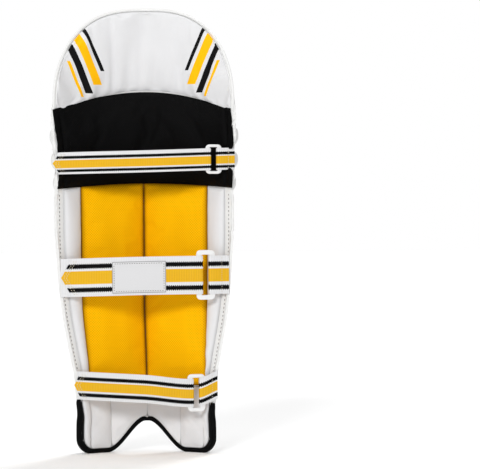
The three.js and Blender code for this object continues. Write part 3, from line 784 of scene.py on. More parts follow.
def crossed_threads():
    """Node group with the bumps of threads that cross in diagonals, and a mask of painted shade in the
    hollows between them.
    """
    name = "Crossed threads"
    if name in bpy.data.node_groups:
        return bpy.data.node_groups[name]
    tree, shade, given, result = new_group(
        name,
        (("Vector", "NodeSocketVector", None), ("Pitch", "NodeSocketFloat", 2.0)),
        ("Height", "Painted hollow shade"))
    along, across = shade.split(given["Vector"])
    pace = shade.math("DIVIDE", 2.0 * math.pi, given["Pitch"])
    first = shade.math("SINE", shade.math("MULTIPLY", along, pace))
    second = shade.math("SINE", shade.math("MULTIPLY", across, pace))
    crossed = shade.math("MULTIPLY", first, second)
    height = shade.math("MULTIPLY_ADD", crossed, 0.5, 0.5)
    shade.feed(result["Height"], height)
    # Painted shade mask, strongest where the threads lie lowest
    shade.feed(result["Painted hollow shade"], shade.math("POWER", shade.math("SUBTRACT", 1.0, height), 3.0))
    return tree


def new_material(name):
    """Material with its nodes and its principled shader."""
    material = bpy.data.materials.new(name)
    material.use_nodes = True
    shade = Shade(material.node_tree)
    return material, shade, material.node_tree.nodes["Principled BSDF"].inputs


def bump(shade, height, strength, distance):
    """Normal of a surface with small relief."""
    node = shade.node("ShaderNodeBump")
    node.inputs["Strength"].default_value = strength
    node.inputs["Distance"].default_value = distance
    shade.feed(node.inputs["Height"], height)
    return node.outputs[0]


def rgba(colour, tone=1.0):
    """Colour with full alpha, darkened by a tone."""
    return (*(part * tone for part in colour), 1.0)


def painted_seam_shade_mask(shade, reach, power):
    """Mask of painted shade that is 1 in a seam of the cloth and fades over a reach in millimetres."""
    away = shade.node("ShaderNodeAttribute", attribute_name=SEAM_DISTANCE).outputs["Fac"]
    deep = shade.math("MAXIMUM", 0.0, shade.math("MULTIPLY_ADD", away, -1.0 / reach, 1.0))
    return shade.math("POWER", deep, power)


def leather_finish(context):
    """White coated leather with a fine grain."""
    name = "White leather"
    if name in bpy.data.materials:
        return bpy.data.materials[name]
    leather = context.scene.pad_colours.leather
    material, shade, shader = new_material(name)
    size = context.scene.pad_sizes.grain_size
    grain = shade.group(pebble_grain(), Vector=shade.on_piece(), Size=size)
    shade.feed(shader["Base Color"], shade.tones(grain["Tone"], leather, 0.95, 1.03))
    shade.feed(shader["Roughness"], shade.span(grain["Tone"], 0.36, 0.50))
    shade.feed(shader["Normal"], bump(shade, grain["Height"], 0.25, 0.00025))
    shader["Specular IOR Level"].default_value = 0.35
    return material


def lining_finish(context, name, painted_seam_shade_tone=None):
    """White lining cloth with painted shade along its seams and rim, or printed with slanted bars where no
    seam shade tone is given.
    """
    if name in bpy.data.materials:
        return bpy.data.materials[name]
    colours = context.scene.pad_colours
    material, shade, shader = new_material(name)
    place = shade.on_cloth()
    weave = shade.group(crossed_threads(), Vector=place, Pitch=1.1)
    colour = shade.tones(shade.noise(place, 0.03), colours.lining, 0.95, 1.02)
    if painted_seam_shade_tone is None:
        colour = slanted_bars(shade, place, colour, colours)
    else:
        # Painted shade: the lining darkens towards its seams and its rim
        colour = shade.mix(painted_seam_shade_mask(shade, *LINING_PAINTED_SHADE), colour, rgba(colours.lining, painted_seam_shade_tone))
    shade.feed(shader["Base Color"], colour)
    shade.feed(shader["Roughness"], shade.span(weave["Height"], 0.62, 0.50))
    shade.feed(shader["Normal"], bump(shade, weave["Height"], 0.25, 0.00012))
    shader["Specular IOR Level"].default_value = 0.12
    return material


# Slanted bars of the printed lining: how far across and between which heights, in millimetres
BARS = (
    {"ink": "black", "from": -15.0, "to": -9.0, "low": 592.0, "high": 664.0},
    {"ink": "yellow", "from": -3.0, "to": 11.0, "low": 571.0, "high": 655.0},
    {"ink": "black", "from": 17.0, "to": 28.0, "low": 558.0, "high": 636.0},
    {"ink": "yellow", "from": 33.0, "to": 38.0, "low": 552.0, "high": 606.0},
)
BAR_FOOT = (76.0, 575.0)
BAR_SLANT = math.radians(24.0)


def slanted_bars(shade, place, colour, colours):
    """Lays the printed bars over a cloth's colour, mirrored from side to side."""
    x, z = shade.split(place)
    out = shade.math("SUBTRACT", shade.math("ABSOLUTE", x), BAR_FOOT[0])
    up = shade.math("SUBTRACT", z, BAR_FOOT[1])
    across = shade.math(
        "SUBTRACT", shade.math("MULTIPLY", out, math.cos(BAR_SLANT)),
        shade.math("MULTIPLY", up, math.sin(BAR_SLANT)))
    inks = {"black": rgba(colours.black), "yellow": rgba(colours.yellow)}
    for bar in BARS:
        middle = (bar["from"] + bar["to"]) / 2
        level = (bar["low"] + bar["high"]) / 2
        wide = shade.math("COMPARE", across, middle, bar["to"] - middle)
        tall = shade.math("COMPARE", z, level, bar["high"] - level)
        colour = shade.mix(shade.math("MULTIPLY", wide, tall), colour, inks[bar["ink"]])
    return colour


def mesh_finish(context, name, colour, painted_hollow_shade_tone, roughness, seam=None):
    """Cushion cloth with a fine diagonal mesh, painted shade in the mesh's hollows, and painted shade along
    the seams where a seam colour is given.
    """
    if name in bpy.data.materials:
        return bpy.data.materials[name]
    material, shade, shader = new_material(name)
    place = shade.on_cloth()
    threads = shade.group(crossed_threads(), Vector=place, Pitch=context.scene.pad_sizes.mesh_pitch)
    tone = shade.tones(shade.noise(place, 0.02), colour, 0.90, 1.04)
    # Painted shade darkens the hollows of the mesh
    cloth = shade.mix(threads["Painted hollow shade"], tone, rgba(colour, painted_hollow_shade_tone))
    # The seam colour is painted shade, darkest in the seams and at the rim
    if seam:
        cloth = shade.mix(painted_seam_shade_mask(shade, *CUSHION_PAINTED_SHADE), cloth, rgba(seam))
    shade.feed(shader["Base Color"], cloth)
    shade.feed(shader["Roughness"], shade.span(threads["Height"], min(1.0, roughness + 0.1), roughness))
    shade.feed(shader["Normal"], bump(shade, threads["Height"], 0.5, 0.0004))
    shader["Specular IOR Level"].default_value = 0.05
    return material


# Ribs of the binding and weave of the webbing, with lengths in millimetres
BINDING_RIB = 0.9
WEFT_PITCH = 2.6
TOOTH_PITCH = 3.2
TOOTH = 0.014
WARP_COUNT = 28.0


def binding_finish(context):
    """Black satin tape with fine ribs across it."""
    name = "Black binding"
    if name in bpy.data.materials:
        return bpy.data.materials[name]
    black = context.scene.pad_colours.black
    material, shade, shader = new_material(name)
    along = shade.split(shade.on_cloth())[0]
    ribs = shade.math("SINE", shade.math("MULTIPLY", along, 2.0 * math.pi / BINDING_RIB))
    height = shade.math("MULTIPLY_ADD", ribs, 0.5, 0.5)
    cloud = shade.noise(shade.on_piece(), 60.0)
    shade.feed(shader["Base Color"], shade.tones(cloud, black, 0.8, 1.6))
    shade.feed(shader["Roughness"], shade.span(height, 0.5, 0.38))
    shade.feed(shader["Normal"], bump(shade, height, 0.3, 0.0002))
    shader["Specular IOR Level"].default_value = 0.04
    return material


def webbing_finish(context, strap):
    """Webbing of one strap with its yellow stripe, ribs of weft, toothed black lines and painted shade where
    its weave lies low.
    """
    name = strap["name"].capitalize() + " webbing"
    if name in bpy.data.materials:
        return bpy.data.materials[name]
    colours = context.scene.pad_colours
    material, shade, shader = new_material(name)
    place = shade.on_cloth()
    along, across = shade.split(place)
    weft = shade.math("ABSOLUTE", shade.math("SINE", shade.math("MULTIPLY", along, math.pi / WEFT_PITCH)))
    warp = shade.math("SINE", shade.math("MULTIPLY", across, 2.0 * math.pi * WARP_COUNT))
    height = shade.math("MULTIPLY", weft, shade.math("MULTIPLY_ADD", warp, 0.2, 0.8))
    # Painted shade darkens the white and the yellow where the weave lies low
    painted_valley_shade = shade.math("POWER", shade.math("SUBTRACT", 1.0, height), 2.0)
    wear = shade.noise(place, 0.9, 2.0)
    white = shade.tones(painted_valley_shade, colours.lining, 1.0, 0.84)
    yellow = shade.tones(painted_valley_shade, colours.webbing, 1.02, 0.80)
    yellow = shade.mix(shade.math("MULTIPLY", wear, 0.03), yellow, rgba(colours.lining))
    stripe = shade.math("COMPARE", across, *strap["stripe"])
    colour = shade.mix(stripe, white, yellow)
    tooth = shade.math("SINE", shade.math("MULTIPLY", along, 2.0 * math.pi / TOOTH_PITCH))
    for middle, half in strap["lines"]:
        reach = shade.math("MULTIPLY_ADD", tooth, TOOTH, half)
        line = shade.math("COMPARE", across, middle, reach)
        colour = shade.mix(line, colour, rgba(colours.black, 1.5))
    sewn_end = shade.math("LESS_THAN", along, strap["point"] + STRAP_OVERHANG)
    shade.feed(shader["Base Color"], shade.mix(sewn_end, colour, white))
    shade.feed(shader["Roughness"], shade.span(height, 0.85, 0.65))
    shade.feed(shader["Normal"], bump(shade, height, 0.55, 0.0004))
    shader["Specular IOR Level"].default_value = 0.05
    return material


def label_finish(context):
    """White patch with a painted shadow along its edge."""
    colour = context.scene.pad_colours.lining
    material, shade, shader = new_material("Label cloth")
    place = shade.on_cloth()
    weave = shade.group(crossed_threads(), Vector=place, Pitch=0.9)
    # Painted shadow: a darker band as wide as the border along the patch's edge
    edges = [
        shade.math("GREATER_THAN", shade.math("ABSOLUTE", part), LABEL[size] / 2 - LABEL["border"])
        for part, size in zip(shade.split(place), ("long", "tall"))
    ]
    cloth = shade.tones(weave["Height"], colour, 0.82, 0.92)
    shade.feed(shader["Base Color"], shade.mix(shade.math("MAXIMUM", *edges), cloth, rgba(colour, 0.42)))
    shade.feed(shader["Roughness"], shade.span(weave["Height"], 0.6, 0.45))
    shader["Specular IOR Level"].default_value = 0.2
    return material


def plastic_finish(context):
    """Glossy moulded white plastic."""
    name = "White plastic"
    if name in bpy.data.materials:
        return bpy.data.materials[name]
    plastic = context.scene.pad_colours.plastic
    material, shade, shader = new_material(name)
    flow = shade.noise(shade.on_piece(), 90.0)
    shade.feed(shader["Base Color"], shade.tones(flow, plastic, 0.97, 1.02))
    shade.feed(shader["Roughness"], shade.span(flow, 0.16, 0.28))
    shade.feed(shader["Normal"], bump(shade, flow, 0.05, 0.0004))
    shader["Coat Weight"].default_value = 0.3
    shader["Coat Roughness"].default_value = 0.12
    return material


def thread_finish(name, thread):
    """Twisted sewing thread of a colour."""
    material, shade, shader = new_material(name)
    twist = shade.noise(shade.on_piece(), 1800.0, 1.0)
    shade.feed(shader["Base Color"], shade.tones(twist, thread, 0.75, 1.2))
    shade.feed(shader["Roughness"], shade.span(twist, 0.7, 0.55))
    return material


# Shapes that several pieces use

def shell_spot(across, up):
    """Share of the half width and height of the shell at shares across and up it."""
    share = spread(across)
    z = lerp(bottom_edge(share * FOOT_HALF), dome_edge(share, SHELL_TOP), up)
    return share * shell_half(z), z


def shell_outline():
    """Points along the edge of the shell, clockwise from the left end of the feet seen in front."""
    side = np.linspace(0.0, 1.0, OUTLINE_POINTS)
    ends = np.zeros(OUTLINE_POINTS)
    left = np.column_stack(shell_spot(ends, side))
    top = np.column_stack(shell_spot(side, ends + 1.0))
    right = np.column_stack(shell_spot(ends + 1.0, side[::-1]))
    bottom = np.column_stack(shell_spot(side[::-1], ends))
    return even_path(np.concatenate((left, top[1:], right[1:], bottom[1:])), OUTLINE_STEP)


def flared(x, z):
    """Place across of a point of the shell once its flange is flared, and how far it comes forward."""
    free = smoothstep(np.abs(x) / shell_half(z), 1.0 - FLANGE / half_width(z), 1.0)
    flare = FLARE * free * smoothstep(z, *FLARE_RISE) * (1.0 - smoothstep(z, *KNEE_RISE))
    lean = np.abs(surface_normal(x, z)[..., 0])
    return x + np.sign(x) * flare * (1.0 - lean * lean), flare * lean


def edge_frame(spots):
    """Points on the shell's edge with the direction out of the edge and out of the strike face."""
    points = on_pad(spots[:, 0], spots[:, 1], np.zeros(len(spots)))
    normals = surface_normal(spots[:, 0], spots[:, 1])
    along = unit(np.gradient(points, axis=0))
    return points, unit(np.cross(normals, along)), normals


def edge_tube(points, outward, normals, out, rise):
    """Rings round the shell's edge from a section's reach out of it and its rise over the face."""
    return points[:, None] + outward[:, None] * out[..., None] + normals[:, None] * rise[..., None]


def superellipse(corners, power):
    """Rounded box section as cosine and sine with squared shoulders."""
    turn = np.arange(corners) * 2.0 * math.pi / corners
    bent = 2.0 / power
    cosine = np.sign(np.cos(turn)) * np.abs(np.cos(turn)) ** bent
    sine = np.sign(np.sin(turn)) * np.abs(np.sin(turn)) ** bent
    return cosine, sine


def top_face_ends(z, top):
    """Rounded fall of the top face's padding towards its upper and lower edge."""
    return round_end(top - z, TOP_ENDS["top"]) * round_end(z - TOP_FACE_BOTTOM + 2.0, TOP_ENDS["bottom"])


def rib_edge(i, z):
    """Place of a seam between two ribs, which draw together towards the feet."""
    return RIB_EDGES[i] * (1.0 - RIB_TAPER * (1.0 - z / RIB_TOP))


def cradle_edge(edge, x):
    """Height of the upper or lower edge of the knee cradle."""
    return edge["sides"] + edge["rise"] * (1.0 - (x / CRADLE_HALF) ** 2)


def knee_strap_distance(x, z):
    """How far over or under the ends of the knee strap's middle line a point lies."""
    heights = STRAPS[0]["heights"]
    return np.abs(z - np.where(x > 0.0, heights[0], heights[-1]))


def bolster_edge(side, z):
    """Outer edge of the shin bolster on a side."""
    return side * lerp(*BOLSTER_OUTER[side], smoothstep(z, BOLSTER["bottom"], BOLSTER["wide"]))


def bolster_seam(z):
    """Line where the two bolsters meet, which leans to one side upwards."""
    return BOLSTER["lean"] * smoothstep(z, BOLSTER["bottom"], BOLSTER["wide"])


class StrapRun:
    """Line of one strap behind the leg, from the tab on one side to the sewn end on the other."""

    def __init__(self, strap):
        self.strap = strap
        height = strap["heights"][0]
        self.rim = self.rim_at(height)
        low = self.rim_at(height - strap["width"] / 2)
        high = self.rim_at(height + strap["width"] / 2)
        rise = high - low
        self.flare = (rise[1] + 2.0 * STRAP_BOW / self.rim[0] * rise[0]) / strap["width"]
        self.base = self.rim[1] + strap["seat"] + WEBBING / 2 + LAYER_OFFSET

    @staticmethod
    def rim_at(z):
        """Edge of the shell's leg side at a height."""
        return on_pad(shell_half(z), z, -BOARD / 2)

    def slope(self, x):
        """Slope of the strap in plan."""
        return -2.0 * STRAP_BOW * x / self.rim[0] ** 2

    def plan(self, x, offset):
        """Points in plan at an offset behind the strap's middle line."""
        x = np.asarray(x, float)
        y = self.base + STRAP_BOW * (1.0 - (x / self.rim[0]) ** 2)
        side = unit(np.stack((-self.slope(x), np.ones_like(x)), axis=-1))
        return np.stack((x, y), axis=-1) + side * np.asarray(offset)[..., None]

    def buckle_frame(self):
        """Middle of the buckle in plan, and the directions along the strap and out of its back."""
        x = self.strap["buckle"]
        along = unit(np.array([1.0, float(self.slope(x))]))
        return self.plan(x, np.array(0.0)), along, np.array([-along[1], along[0]])

    def lean(self, z):
        """How far a point leans back to follow the rims."""
        return self.flare * (z - self.rim[2])

    def height(self, x):
        """Height of the strap's middle line."""
        strap = self.strap
        return through((strap["tab"], strap["buckle"], 0.0, strap["tip"]), strap["heights"][::-1], x)

    def points(self, x, across, offset):
        """Points on the strap in space."""
        plan = self.plan(x, offset)
        z = self.height(x) + across
        return np.stack((plan[..., 0], plan[..., 1] + self.lean(z), z), axis=-1)

    def normal(self, x):
        """Direction out of the back of the strap."""
        return unit(np.stack((-self.slope(x), np.ones_like(x), np.zeros_like(x)), axis=-1))


# Operators

class PAD_OT_shell(bpy.types.Operator):
    """Adds the curved shell with its flange"""

    bl_idname = "pad.shell"
    bl_label = "Shell"

    def execute(self, context):
        def spot(across, up):
            x, z = shell_spot(across, up)
            beside = smoothstep(z, *KNEE_RISE) * (1.0 - smoothstep(z, *KNEE_FALL))
            flange = smoothstep(np.abs(x) / shell_half(z), FLANGE_SHARE, 1.0)
            gather = unevenness(x * 0.3, z, 24.0, 3) * flange * lerp(*GATHER, beside)
            free = smoothstep(knee_strap_distance(x, z), *STRAP_CLEARANCE)
            x, forward = flared(x, z)
            gather = gather * free + forward
            bulge = KNEE_FLANGE["out"] + KNEE_FLANGE["uneven"] * unevenness(x, z, 21.0, 5)
            x = x + np.sign(x) * flange * beside * free * bulge
            return x, z, BOARD / 2 + gather, -BOARD / 2 + gather

        bm = quilt(64, 150, spot)
        rims = [edge for edge in bm.edges if edge.calc_face_angle(0.0) > 1.0]
        bmesh.ops.bevel(
            bm, geom=rims, offset=BOARD_BEVEL * MM, offset_type="OFFSET", affect="EDGES", segments=3,
            profile=0.5, material=-1)
        add_piece("shell_cover", bm, leather_finish(context), "shell")
        return {"FINISHED"}


class PAD_OT_edge_trim(bpy.types.Operator):
    """Adds the black binding round the feet and the white piping round the dome"""

    bl_idname = "pad.edge_trim"
    bl_label = "Edge Trim"

    def execute(self, context):
        self.add_binding(context)
        self.add_piping(context)
        return {"FINISHED"}

    @staticmethod
    def add_binding(context):
        """Tape folded over the edge of the feet and the arch."""
        spots = shell_outline()
        middle = len(spots) // 2
        spots = np.roll(spots[:-1], -middle, axis=0)
        low = spots[:, 1] < np.where(spots[:, 0] > 0.0, BINDING_TOPS[1.0], BINDING_TOPS[-1.0])
        start = np.argmax(low)
        spots = spots[start:start + low.sum()]
        points, outward, normals = edge_frame(spots)
        walked = np.arange(len(spots)) * OUTLINE_STEP
        ends = round_end(np.minimum(walked, walked[::-1]) + BINDING_END["start"], BINDING_END["length"])
        cosine, sine = superellipse(*BINDING_SECTION)
        stretch = 1.0 / np.maximum(BINDING_STRETCH, np.hypot(outward[:, 0], outward[:, 2]))
        room = lerp(1.0, BINDING_NARROW, smoothstep(spots[:, 1], BINDING_FULL, BINDING_START))
        reach = (BINDING_WIDTH * room * stretch * ends)[:, None]
        level = lerp(BINDING_LAP["sole"], BINDING_LAP["arch"], smoothstep(spots[:, 1:], *ARCH_SIDE))
        lap = lerp(level, BINDING_LAP["side"], outward[:, :1] ** 2)
        out = lerp(-lap, reach, (cosine + 1.0) / 2)
        rise = BINDING_HALF_THICKNESS * ends[:, None] * sine
        rings = edge_tube(points, outward, normals, out, rise)
        rings[..., 2] = np.maximum(0.0, rings[..., 2])
        material = binding_finish(context)
        add_piece("edge_binding_tape", sweep(rings), material, "edge_binding")

    @staticmethod
    def add_piping(context):
        """Thin round piping along the dome's edge."""
        spots = shell_outline()
        spots = spots[spots[:, 1] > PIPING_START]
        points, outward, normals = edge_frame(spots)
        turn = np.arange(PIPING_CORNERS) * 2.0 * math.pi / PIPING_CORNERS
        out = lerp(-PIPING_TUCK, GAP + 2.0 * PIPING_RADIUS, (1.0 + np.cos(turn)) / 2)
        rings = edge_tube(
            points, outward, normals, np.tile(out, (len(spots), 1)),
            np.tile(PIPING_RADIUS * np.sin(turn), (len(spots), 1)))
        add_piece("top_piping_cord", sweep(rings), leather_finish(context), "top_piping")


class PAD_OT_top_face(bpy.types.Operator):
    """Adds the padded top of the strike face, sewn into channels"""

    bl_idname = "pad.top_face"
    bl_label = "Top Face"

    def execute(self, context):
        def knob(place, above):
            beside = np.clip((place - 0.5) / TOP_KNOB["wide"] + 0.5, 0.0, 1.0)
            arc = puff(beside, 2.0)
            below = lerp(TOP_KNOB["low"], TOP_KNOB["high"], arc) - above
            ramp = np.exp(-(below / TOP_KNOB["ramp"]) ** 2)
            fall = np.clip(1.0 - (below / TOP_KNOB["fall"]) ** 2, 0.0, 1.0)
            return TOP_KNOB["rise"] * puff(beside) * np.where(below > 0.0, fall, ramp)

        def spot(across, up):
            lobe, place, share = lobes(across, TOP_SEAMS)
            crown = SHELL_TOP - TOP_FACE_INSET
            seams = dome_edge(np.array(TOP_SEAMS), crown)
            channel = (lobe > 0) & (lobe < len(TOP_SEAMS) - 2)
            top = np.where(channel, lerp(seams[lobe], seams[lobe + 1], place), dome_edge(share, crown))
            z = lerp(TOP_FACE_BOTTOM, top, up)
            x = share * (shell_half(z) - TOP_FACE_INSET)
            pad = np.clip((place - TOP_SEAM["share"]) / (1.0 - 2.0 * TOP_SEAM["share"]), 0.0, 1.0)
            floor = TOP_SEAM["floor"] * smoothstep(1.0 - np.abs(share), 0.0, 0.08)
            bulge = knob(pad, z - TOP_FACE_BOTTOM) * channel
            ends = top_face_ends(z, top)
            waves = np.sin(z * 2.0 * math.pi / TOP_PUCKER["length"] + 2.0 * lobe)
            pucker = TOP_PUCKER["depth"] * waves * (1.0 - puff(place, 1.2))
            soft = 1.0 + 0.05 * unevenness(x, z, 60.0, 11)
            rise = RIM * 0.4 + (TOP_RISE * lerp(floor, 1.0, puff(pad, 2.6) ** 2) * soft + bulge) * ends
            return x, z, FACE + rise + pucker * ends, np.full_like(x, SEAT)

        bm = quilt(154, 90, spot)
        piece = add_piece("top_face_padding", bm, leather_finish(context), "top_face")
        return {"FINISHED"}


class PAD_OT_knee_rolls(bpy.types.Operator):
    """Adds the three padded rolls across the knee"""

    bl_idname = "pad.knee_rolls"
    bl_label = "Knee Rolls"

    def execute(self, context):
        for seed, roll in enumerate(ROLLS):
            bm = quilt(120, 36, self.spot_of(roll, seed))
            node = roll["name"]
            piece = add_piece(node + "_padding", bm, leather_finish(context), node)
        return {"FINISHED"}

    @staticmethod
    def spot_of(roll, seed):
        """Places points round one roll, which falls away at its ends."""
        middle = (roll["low"] + roll["high"]) / 2

        def spot(across, up):
            share = spread(across)
            fall = round_end((1.0 - np.abs(share)) * half_width(middle), ROLL_END["length"])
            tall = (roll["high"] - roll["low"]) / 2 * lerp(ROLL_END["tall"], 1.0, fall)
            proud = roll["rise"] * lerp(ROLL_END["proud"], 1.0, fall) * (1.0 - ROLL_FALL * share * share)
            turn = (up - 0.5) * math.pi
            z = middle + tall * np.sign(turn) * np.abs(np.sin(turn)) ** ROLL_POWER
            x = share * roll["reach"] * half_width(z)
            soft = 1.0 + 0.025 * unevenness(x, z, 55.0, 20 + seed)
            return x, z, FACE + proud * np.cos(turn) ** ROLL_POWER * soft, np.full_like(x, SEAT)

        return spot


class PAD_OT_ribs(bpy.types.Operator):
    """Adds the five padded ribs with their knobs"""

    bl_idname = "pad.ribs"
    bl_label = "Ribs"

    def execute(self, context):
        sizes = context.scene.pad_sizes
        for i in range(5):
            bm = quilt(30, 150, self.spot_of(i, sizes))
            node = f"rib_{i + 1}"
            piece = add_piece(node + "_padding", bm, leather_finish(context), node)
        return {"FINISHED"}

    @staticmethod
    def spot_of(i, sizes):
        """Places points on one rib."""
        outer = i in (0, 4)

        def spot(across, up):
            guess = lerp(RIB_EDGES[i], RIB_EDGES[i + 1], across)
            low = np.full_like(across, MIDDLE_RIB_BOTTOM)
            if outer:
                low = bottom_edge(guess * (1.0 - RIB_TAPER)) + EDGE_CLEARANCE
            z = lerp(low, RIB_TOP, up)
            x = lerp(rib_edge(i, z) + SEAM_GAP / 2, rib_edge(i + 1, z) - SEAM_GAP / 2, across)
            wide = RIB_EDGES[i + 1] - RIB_EDGES[i]
            below = RIB_TOP - z
            reach = (below - KNOB_DROP) / KNOB_HALF
            bulb = np.sqrt(np.maximum(0.0, 1.0 - reach ** 2 - ((across - 0.5) / KNOB_SHARE) ** 2))
            toe = FOOT_TOE if outer else RIB_TOE
            over = z - low - lerp(toe["low"], toe["high"], puff(across, 2.0))
            step = toe["rise"] * (1.0 - smoothstep(over, -TOE_RAMP, TOE_RAMP))
            bulge = sizes.knob_rise / MM * bulb + step * puff(across)
            ends = round_end(below + 1.0, RIB_ENDS["top"]) * round_end(z - low + 2.0, RIB_ENDS["bottom"])
            soft = 1.0 + 0.03 * unevenness(x * wide / 40.0, z, 70.0, 40 + i)
            rise = RIM * 0.5 + (sizes.rib_rise / MM + RIM * 0.5) * puff(across) * ends * soft + bulge * ends
            return x, z, FACE + rise, np.full_like(x, SEAT)

        return spot


class PAD_OT_side_panels(bpy.types.Operator):
    """Adds the slim padded panels beside the outer ribs"""

    bl_idname = "pad.side_panels"
    bl_label = "Side Panels"

    def execute(self, context):
        for side, node in ((-1.0, "side_panel_left"), (1.0, "side_panel_right")):
            bm = quilt(24, 150, self.spot_of(side))
            piece = add_piece(node + "_padding", bm, leather_finish(context), node)
        return {"FINISHED"}

    @staticmethod
    def spot_of(side):
        """Places points on one panel."""

        def spot(across, up):
            share = across if side > 0 else 1.0 - across
            guess = lerp(RIB_EDGES[5] * (1.0 - RIB_TAPER), FOOT_HALF * SIDE_PANEL_REACH, share)
            low = bottom_edge(guess) + EDGE_CLEARANCE
            z = lerp(low, RIB_TOP, up)
            reach = lerp(SIDE_PANEL_FOOT_REACH, SIDE_PANEL_REACH, smoothstep(z, *SIDE_PANEL_FOOT))
            x = side * lerp(rib_edge(5, z) + SEAM_GAP, reach * shell_half(z), share)
            ends = round_end(RIB_TOP - z + 2.0, SIDE_PANEL_ENDS["top"])
            ends = ends * round_end(z - low, SIDE_PANEL_ENDS["bottom"])
            gather = 0.4 * unevenness(x * 0.4, z, 34.0, 60 + int(side)) * puff(share)
            rise = RIM * 0.5 + (SIDE_PANEL_RISE + RIM * 0.5) * puff(share) * ends
            return x, z, FACE + rise + gather * ends, np.full_like(x, SEAT)

        return spot


class PAD_OT_instep_panel(bpy.types.Operator):
    """Adds the padded panel over the instep"""

    bl_idname = "pad.instep_panel"
    bl_label = "Instep Panel"

    def execute(self, context):
        def spot(across, up):
            wide = RIB_EDGES[4] * (1.0 - RIB_TAPER) - SEAM_GAP
            guess = (2.0 * across - 1.0) * wide
            z = lerp(bottom_edge(guess) + EDGE_CLEARANCE, INSTEP_TOP, up)
            x = (2.0 * across - 1.0) * (rib_edge(4, z) - SEAM_GAP)
            soft = 1.0 + 0.06 * unevenness(x, z, 45.0, 71)
            rise = RIM * 0.5 + (INSTEP_RISE + RIM * 0.5) * puff(across) * puff(up, 2.0) * soft
            return x, z, FACE + rise, np.full_like(x, SEAT)

        bm = quilt(80, 60, spot)
        material = leather_finish(context)
        piece = add_piece("instep_panel_padding", bm, material, "instep_panel")
        return {"FINISHED"}


class PAD_OT_top_lining(bpy.types.Operator):
    """Adds the padded and printed lining of the top"""

    bl_idname = "pad.top_lining"
    bl_label = "Top Lining"

    def execute(self, context):
        def spot(across, up):
            share = spread(across)
            top = dome_edge(share, SHELL_TOP - TOP_LINING_INSET)
            x = share * (half_width(600.0) - TOP_LINING_INSET)
            low = cradle_edge(CRADLE_TOP, np.clip(x, -CRADLE_HALF, CRADLE_HALF)) + 2.0 * EDGE_CLEARANCE
            z = lerp(low, np.maximum(top, low + 1.0), up)
            x = share * (shell_half(z) - TOP_LINING_INSET)
            deep = lerp(*TOP_LINING_FOLDS, (2.0 * up - 1.0) ** 2)
            fold = deep * unevenness(x, z * 0.15, 14.0, 81) * puff(up) ** 0.7
            rise = RIM * 0.4 + TOP_LINING_RISE * CUT["top_lining"] * (1.0 - share ** 4) * puff(up) ** 0.8
            return x, z, np.full_like(x, -SEAT), -FACE - rise - fold

        bm = quilt(60, 30, spot, cloth=True)
        material = lining_finish(context, "Printed lining")
        piece = add_piece("top_lining_padding", bm, material, "top_lining")
        swell(piece, slack=0.03, reach=6.0)
        return {"FINISHED"}


class PAD_OT_knee_cradle(bpy.types.Operator):
    """Adds the black padded cradle behind the knee"""

    bl_idname = "pad.knee_cradle"
    bl_label = "Knee Cradle"

    def execute(self, context):
        depth = context.scene.pad_sizes.cradle_depth / MM

        def spot(across, up):
            share = spread(across)
            x = share * CRADLE_HALF
            ends = CRADLE_END_LIFT * smoothstep(np.abs(share), *CRADLE_END)
            z = lerp(cradle_edge(CRADLE_BOTTOM, x), cradle_edge(CRADLE_TOP, x) + ends, up)
            lap = np.where(x > 0.0, through(*CRADLE_LAPS[1.0], z), through(*CRADLE_LAPS[-1.0], z))
            free = smoothstep(knee_strap_distance(x, z), *CRADLE_STRAP_CLEARANCE)
            x = share * (shell_half(z) + lerp(CRADLE_PINCH, lap, free))
            thick = lerp(depth, CRADLE_SIDE_THICKNESS, np.abs(share) ** 2.2)
            soft = 1.0 + 0.03 * unevenness(x, z, 60.0, 91)
            fold = np.exp(-((np.abs(share) - CRADLE_FOLD["at"]) / CRADLE_FOLD["wide"]) ** 2)
            filled = (thick - RIM * 0.5) * CUT["cradle"] * puff(up, 3.0) * soft
            rise = RIM * 0.5 + filled * (1.0 - CRADLE_FOLD["depth"] * fold)
            return x, z, np.full_like(x, -SEAT), -FACE - rise

        def seam(across, up):
            return np.abs(np.abs(spread(across)) - CRADLE_FOLD["at"]) < CRADLE_FOLD["sewn"]

        bm = quilt(56, 28, spot, cloth=True, seam=seam)
        colours = context.scene.pad_colours
        material = mesh_finish(context, "Black cushion cloth", colours.cradle, 0.1, 0.62)
        piece = add_piece("knee_cradle_cushion", bm, material, "knee_cradle")
        swell(piece, slack=0.01, reach=7.0)
        return {"FINISHED"}


class PAD_OT_shin_bolsters(bpy.types.Operator):
    """Adds the two yellow cushions along the shin"""

    bl_idname = "pad.shin_bolsters"
    bl_label = "Shin Bolsters"

    def execute(self, context):
        depth = context.scene.pad_sizes.bolster_depth / MM
        colours = context.scene.pad_colours
        # The yellow cloth gets painted shade in its mesh hollows and along its seams and rims
        material = mesh_finish(context, "Yellow cushion cloth", colours.yellow, 0.55, 0.7, colours.seam)
        for side, node in ((-1.0, "shin_bolster_left"), (1.0, "shin_bolster_right")):
            bm = quilt(22, 64, self.spot_of(side, depth), cloth=True)
            piece = add_piece(node + "_cushion", bm, material, node)
            swell(piece, slack=0.01, reach=6.0)
        return {"FINISHED"}

    @staticmethod
    def spot_of(side, depth):
        """Places points on one bolster."""

        def spot(across, up):
            share = across if side > 0 else 1.0 - across
            guess = lerp(BOLSTER["inner"], BOLSTER_OUTER[side][1], share)
            top = cradle_edge(CRADLE_BOTTOM, guess) + BOLSTER["tuck"]
            z = lerp(BOLSTER["bottom"], top, up)
            x = lerp(bolster_seam(z) + side * BOLSTER["inner"], bolster_edge(side, z), share)
            soft = 1.0 + 0.04 * unevenness(x, z, 55.0, 101 + int(side))
            rise = RIM * 0.5 + (depth - RIM * 0.5) * CUT["bolster"] * puff(share) * puff(up) ** 0.6 * soft
            return x, z, np.full_like(x, -SEAT), -FACE - rise

        return spot


